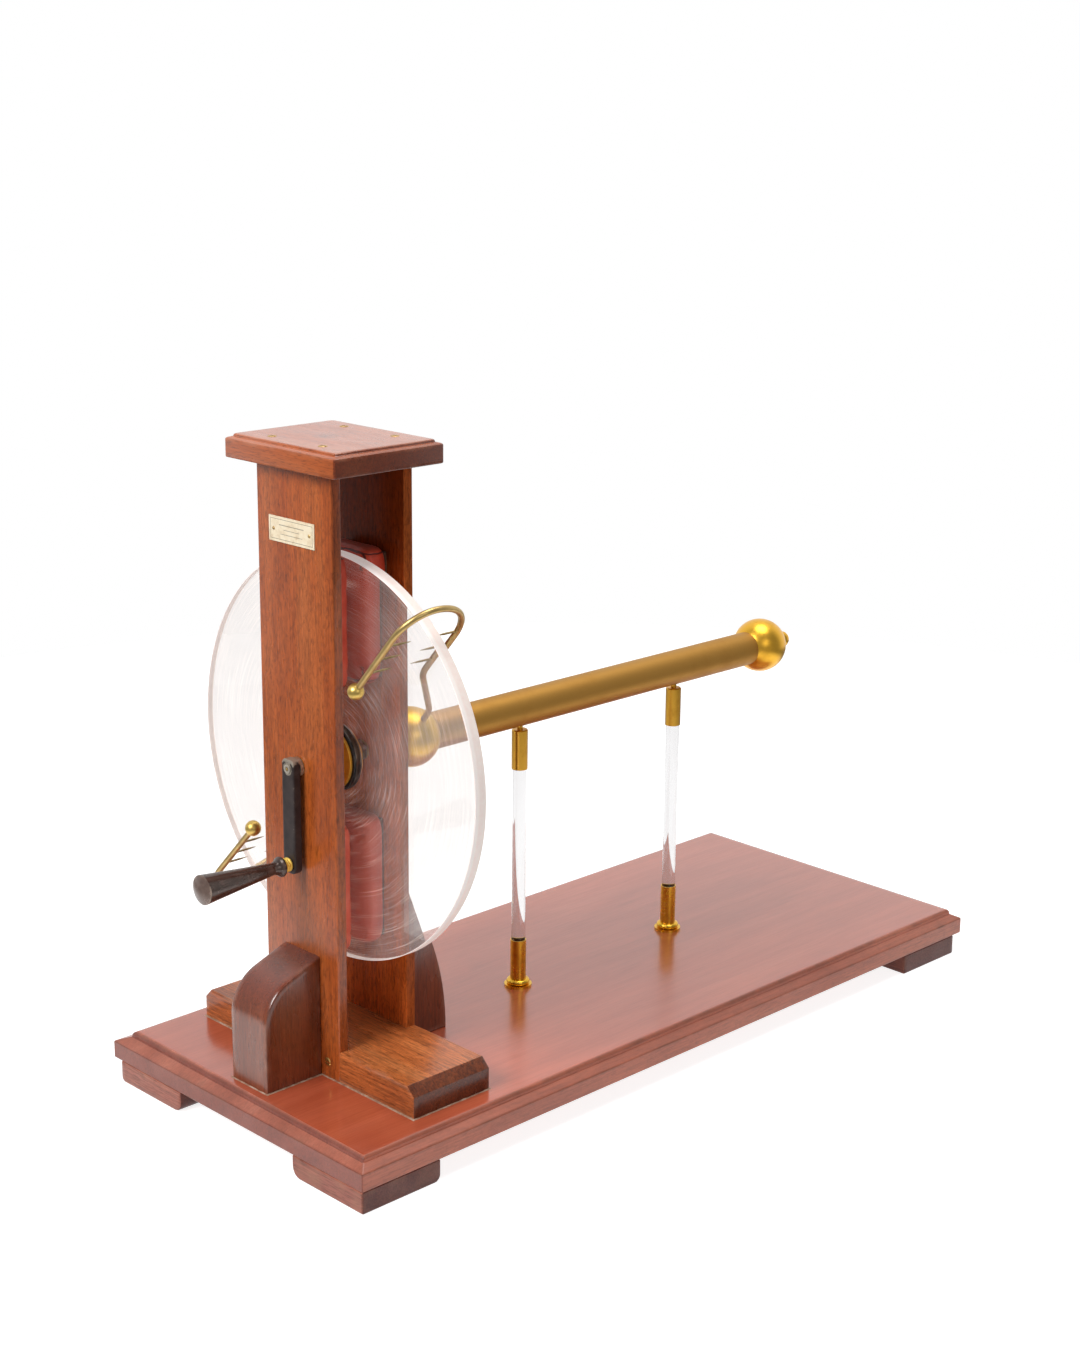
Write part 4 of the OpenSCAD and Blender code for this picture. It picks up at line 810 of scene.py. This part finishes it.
# Disc: thick clear plate, its faces dulled by years of rubbing in fine arcs round the axle.
# The scratches and the ground edge glow with painted light, standing in for light the plate gathers and scatters, so
# they show as pale lines; the rim's front edge is a painted highlight.
def disc_skin(profile, centre, steps, finishes):
    """Skin turned through (radius, distance along the axle) points; finishes gives the material of each band."""
    bm = bmesh.new()
    rows = []
    for r, d in profile:
        turns = [2 * math.pi * k / steps for k in range(steps)]
        rows.append([bm.verts.new(centre + Vector((d, r * math.cos(t), r * math.sin(t)))) for t in turns])
    for a, b, finish in zip(rows, rows[1:] + rows[:1], finishes):
        for k in range(steps):
            j = (k + 1) % steps
            bm.faces.new((a[k], a[j], b[j], b[k])).material_index = finish
    return bm


def off_axle(tree, place):
    """How far a point lies to the side of the axle and above it."""
    off = put(tree, "VectorMath", {0: place, 1: hub_centre}, operation="SUBTRACT").outputs[0]
    return put(tree, "VectorMath", {0: off, 1: (0, 1, 1)}, operation="MULTIPLY").outputs[0]


def axle_radius(tree, place):
    return put(tree, "VectorMath", {0: off_axle(tree, place)}, operation="LENGTH").outputs["Value"]


low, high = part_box("glass_disc")
hub_centre = Vector(((low.x + high.x) / 2, 0, (low.z + high.z) / 2))
plate, tree, bsdf, place = shader("rubbed_clear_plate")
across = put(tree, "SeparateXYZ", {0: off_axle(tree, place)}).outputs
turn = calc(tree, "ARCTAN2", across[2], across[1])
wander = mottle(tree, place, 14.0, 2.0)
bent = calc(tree, "MULTIPLY_ADD", wander, 0.005, axle_radius(tree, place))
arcs = put(tree, "CombineXYZ", {0: calc(tree, "MULTIPLY", bent, 1100.0),
                                1: calc(tree, "MULTIPLY", turn, 1.6)})
glowing_scratches = mottle(tree, arcs.outputs[0], 1.0, 2.0)
# Painted light: the scratches glow, standing in for light scattered by the rubbed faces.
give(bsdf, "Emission Color", ramp(tree, glowing_scratches, (0.57, grey(0)), (0.7, (0.34, 0.27, 0.23))))
give(bsdf, "Emission Strength", 0.5)
veil = mottle(tree, place, 26.0, 5.0)
misty = ramp(tree, veil, (0.35, grey(0.07)), (0.75, grey(0.115)))
clear = calc(tree, "SUBTRACT", 1.0, misty, clamp=True)
give(bsdf, "Transmission Weight", clear)
clear_index = 1.49
give(bsdf, "Base Color", (0.955, 0.918, 0.9, 1))
give(bsdf, "IOR", clear_index)
give(bsdf, "Roughness", 0.015)

ground, tree, bsdf, place = shader("ground_clear_edge")
cloud = mottle(tree, place, 240.0, 4.0)
frosted = ramp(tree, cloud, (0.3, (0.58, 0.48, 0.42)), (0.7, (0.66, 0.56, 0.5)))
depth = put(tree, "SeparateXYZ", {0: place}).outputs[0]
# Painted highlight: the rim's front edge is made paler.
front_edge_highlight = graded(tree, depth, low.x + 0.0042, low.x + 0.0024, 0.0, 1.0)
give(bsdf, "Base Color", laid_over(tree, frosted, (0.74, 0.66, 0.62, 1), front_edge_highlight))
give(bsdf, "Transmission Weight", 0.15)
give(bsdf, "IOR", clear_index)
give(bsdf, "Roughness", 0.45)
# Painted glow: the whole ground edge shines, standing in for light the plate gathers.
give(bsdf, "Emission Color", (1.0, 0.9, 0.87, 1))
give(bsdf, "Emission Strength", 0.35)

outer, bore, thick, ease = (high.z - low.z) / 2, 0.00755, (high.x - low.x) / 2, 0.0006
front_half = [(bore, -thick), (outer * 0.35, -thick), (outer * 0.7, -thick), (outer - ease, -thick),
              (outer - ease * 0.3, ease * 0.3 - thick), (outer, ease - thick)]
profile = front_half + [(r, -d) for r, d in reversed(front_half)]
bands = [0] * 3 + [1] * 5 + [0] * 4
skin = disc_skin(profile, hub_centre, 240, bands)
fit("clear_disc", skin, [plate, ground], "rotor", "clear_disc", "glass_disc", crease=8)

# Hubs and washers: two turned brass flanges clamp the disc between black fibre washers.
# The front flange is pinned to the axle, and fine tool lines run round both.
hub_brass = brass("hub_brass", (0.98, 0.45, 0.05), (0.8, 0.34, 0.03), rough=0.42, spots=70.0, lines="x", metal=0.5)
dress(hub_brass, "front_hub", "rear_hub")
fibre, tree, bsdf, place = shader("black_fibre")
cloud = mottle(tree, place, 300.0, 5.0)
give(bsdf, "Base Color", ramp(tree, cloud, (0.3, (0.01, 0.01, 0.011)), (0.7, (0.035, 0.034, 0.036))))
give(bsdf, "Roughness", 0.55)
dress(fibre, "front_washer", "rear_washer")

# Crank: a black japanned iron bar with eased edges, riveted on the axle end, with a steel collar behind it.
# The japan has worn through to pale metal over the top and in a ring round the axle.
low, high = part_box("crank_arm")
japan, tree, bsdf, place = shader("worn_black_japan")
cloud = mottle(tree, place, 140.0, 7.0, 0.65)
lift = put(tree, "SeparateXYZ", {0: place}).outputs[2]
near_axle = graded(tree, lift, high.z - 0.006, high.z - 0.0005, -0.1, 0.36)
wear_and_painted_light = put(tree, "Attribute", attribute_name="wear").outputs["Fac"]
edge = calc(tree, "MULTIPLY_ADD", wear_and_painted_light, 0.12, near_axle)
washed = graded(tree, axle_radius(tree, place), 0.0052, 0.0046, -0.1, 0.24)
edge = calc(tree, "MAXIMUM", edge, washed)
bare = calc(tree, "ADD", cloud, edge)
worn = ramp(tree, bare, (0.62, grey(0)), (0.74, grey(1)))
black = ramp(tree, cloud, (0.3, (0.016, 0.011, 0.011)), (0.7, (0.048, 0.034, 0.032)))
give(bsdf, "Base Color", laid_over(tree, black, (0.36, 0.31, 0.25, 1), worn))
give(bsdf, "Metallic", calc(tree, "MULTIPLY", worn, 0.6))
give(bsdf, "Roughness", ramp(tree, cloud, (0.3, grey(0.38)), (0.7, grey(0.55))))
give(bsdf, "Specular IOR Level", 0.35)
relief = put(tree, "Bump", {"Strength": 0.15, "Distance": 0.0003, "Height": cloud})
give(bsdf, "Normal", relief.outputs[0])
bar = slab(sides(low.yz, high.yz), [0.004] * 4, low.x, high.x, 0.0006, "x", reach=0.0012, steps=8)
fit("crank_bar", bar, japan, "rotor", "black_iron", "crank_arm")
worn_steel, tree, bsdf, place = shader("worn_steel")
cloud = mottle(tree, place, 420.0, 6.0)
give(bsdf, "Base Color", ramp(tree, cloud, (0.35, (0.3, 0.25, 0.19)), (0.62, (0.58, 0.52, 0.42))))
give(bsdf, "Roughness", ramp(tree, cloud, (0.35, grey(0.55)), (0.65, grey(0.34))))
give(bsdf, "Metallic", 0.9)
dress(worn_steel, "crank_collar", "crank_spindle")
axle_steel, tree, bsdf, place = shader("riveted_axle_steel")
per_ring = 200.0
ringed = ramp(tree, calc(tree, "MULTIPLY", axle_radius(tree, place), per_ring), (0.2, (0.5, 0.32, 0.09)),
              (0.26, (0.06, 0.045, 0.035)), (0.36, (0.5, 0.44, 0.36)), (0.62, (0.6, 0.54, 0.45)),
              (0.7, (0.2, 0.17, 0.14)))
cloud = mottle(tree, place, 600.0, 5.0)
soil = ramp(tree, cloud, (0.3, grey(0.55)), (0.6, grey(1.0)))
give(bsdf, "Base Color", glazed(tree, ringed, soil))
give(bsdf, "Roughness", ramp(tree, cloud, (0.3, grey(0.6)), (0.7, grey(0.42))))
give(bsdf, "Metallic", 0.6)
dress(axle_steel, "axle")

# Grip: hardwood turned to a trumpet, stained black and polished; it spins on the riveted spindle.
# The palm has worn it brown; its end face is lighter, partly worn and partly a painted sheen, and a pale line shows
# where the rim is rubbed.
ebony, tree, bsdf, place = shader("black_polished_grip")
drawn = put(tree, "Mapping", {"Vector": place, "Scale": (40.0, 700.0, 700.0)}).outputs[0]
streak = mottle(tree, drawn, 1.0, 4.0)
cloud = mottle(tree, place, 90.0, 5.0)
mixed = calc(tree, "MULTIPLY", streak, cloud)
low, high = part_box("crank_grip")
stain_and_painted_shade = ramp(tree, mixed, (0.14, (0.018, 0.01, 0.008)), (0.3, (0.042, 0.024, 0.019)), (0.46, (0.11, 0.066, 0.052)))
along = put(tree, "SeparateXYZ", {0: place}).outputs[0]
from_edge = calc(tree, "SUBTRACT", along, low.x + 0.0027)
from_edge = calc(tree, "ABSOLUTE", from_edge)
rubbed_ring = graded(tree, from_edge, 0.0007, 0.0002, 0.0, 1.0)
rubbed_ring = calc(tree, "MULTIPLY", rubbed_ring, ramp(tree, cloud, (0.42, grey(0.0)), (0.62, grey(0.6))))
# Painted sheen: the end face is lightened, partly for wear and partly for the sheen it catches facing the light.
endwise = put(tree, "SeparateXYZ", {0: put(tree, "TexCoord").outputs["Normal"]}).outputs[0]
at_end = graded(tree, endwise, -0.55, -0.85, 0.0, 1.0)
worn_end_and_sheen = ramp(tree, cloud, (0.35, (0.075, 0.047, 0.038)), (0.65, (0.15, 0.1, 0.082)))
stain_and_painted_shade = laid_over(tree, stain_and_painted_shade, worn_end_and_sheen, at_end)
give(bsdf, "Base Color", laid_over(tree, stain_and_painted_shade, (0.42, 0.33, 0.26, 1), rubbed_ring))
give(bsdf, "Roughness", ramp(tree, cloud, (0.3, grey(0.2)), (0.7, grey(0.3))))
give(bsdf, "Specular IOR Level", 0.8)
give(bsdf, "Specular Tint", (1.0, 0.85, 0.78, 1))
relief = put(tree, "Bump", {"Strength": 0.05, "Distance": 0.0003, "Height": streak})
give(bsdf, "Normal", relief.outputs[0])
dress(ebony, "crank_grip")

# Bright brass: the balls, the terminal knob and the ringed ferrule of the grip, turned, polished and lacquered.
# The near ball is handled most when the combs are set, so its lacquer is dull.
bright_brass = brass("bright_brass", (0.84, 0.46, 0.05), (0.66, 0.34, 0.03), rough=0.3, spots=38.0)
dress(bright_brass, "far_ball", "terminal_knob")
dull_brass = brass("dull_brass", (0.66, 0.38, 0.03), (0.55, 0.3, 0.022), rough=0.36, spots=60.0)
dress(dull_brass, "near_ball")
ring_brass = brass("ring_brass", (0.98, 0.66, 0.13), (0.86, 0.54, 0.09), rough=0.46, spots=120.0, metal=0.65)
dress(ring_brass, "grip_ferrule")
pale_brass = brass("pale_brass", (0.66, 0.46, 0.13), (0.5, 0.33, 0.09), rough=0.36, spots=160.0)
dress(pale_brass, "right_comb_ball", "left_comb_ball")

# Columns: solid clear rods that insulate the conductor, drawn, with faint lines along them.
# They are cemented into turned brass: a flanged socket on the base and a ferrule under the tube.
rod_clear, tree, bsdf, place = shader("clear_rod")
drawn = put(tree, "Mapping", {"Vector": place, "Scale": (500.0, 500.0, 12.0)}).outputs[0]
streak = mottle(tree, drawn, 1.0, 3.0)
give(bsdf, "Roughness", ramp(tree, streak, (0.3, grey(0.0)), (0.8, grey(0.06))))
give(bsdf, "Base Color", (0.83, 0.822, 0.822, 1))
give(bsdf, "Transmission Weight", 0.985)
give(bsdf, "IOR", clear_index)
dress(rod_clear, "front_column", "rear_column")
socket_brass = brass("socket_brass", (0.66, 0.35, 0.045), (0.5, 0.25, 0.03), rough=0.3, spots=60.0)
dress(socket_brass, "front_ferrule", "rear_ferrule")
flange_brass = brass("flange_brass", (0.78, 0.46, 0.05), (0.56, 0.3, 0.03), rough=0.26, spots=90.0)
dress(flange_brass, "front_socket", "rear_socket")

# Conductor tube: drawn brass tube, closed by a ball at each end.
# It was rubbed down to a satin face and lacquered, and has dulled to a brown gold.
tube_brass = brass("tube_brass", (0.45, 0.235, 0.05), (0.4, 0.2, 0.04), rough=0.5, spots=20.0)
dress(tube_brass, "conductor_tube")

# Combs: brass rod bent cold round the disc's edge, screwed into the near ball and tipped with small balls.
# Each leg is set with steel points that face the disc, browned by the sparks.
rod_brass = brass("rod_brass", (0.54, 0.38, 0.15), (0.42, 0.29, 0.12), rough=0.36, spots=85.0)
dress(rod_brass, "right_comb", "left_comb")
needle, tree, bsdf, place = shader("needle_steel")
cloud = mottle(tree, place, 500.0, 4.0)
give(bsdf, "Base Color", ramp(tree, cloud, (0.3, (0.22, 0.15, 0.06)), (0.7, (0.42, 0.32, 0.16))))
give(bsdf, "Metallic", 0.85)
give(bsdf, "Roughness", 0.4)
dress(needle, "right_comb_points", "left_comb_points")
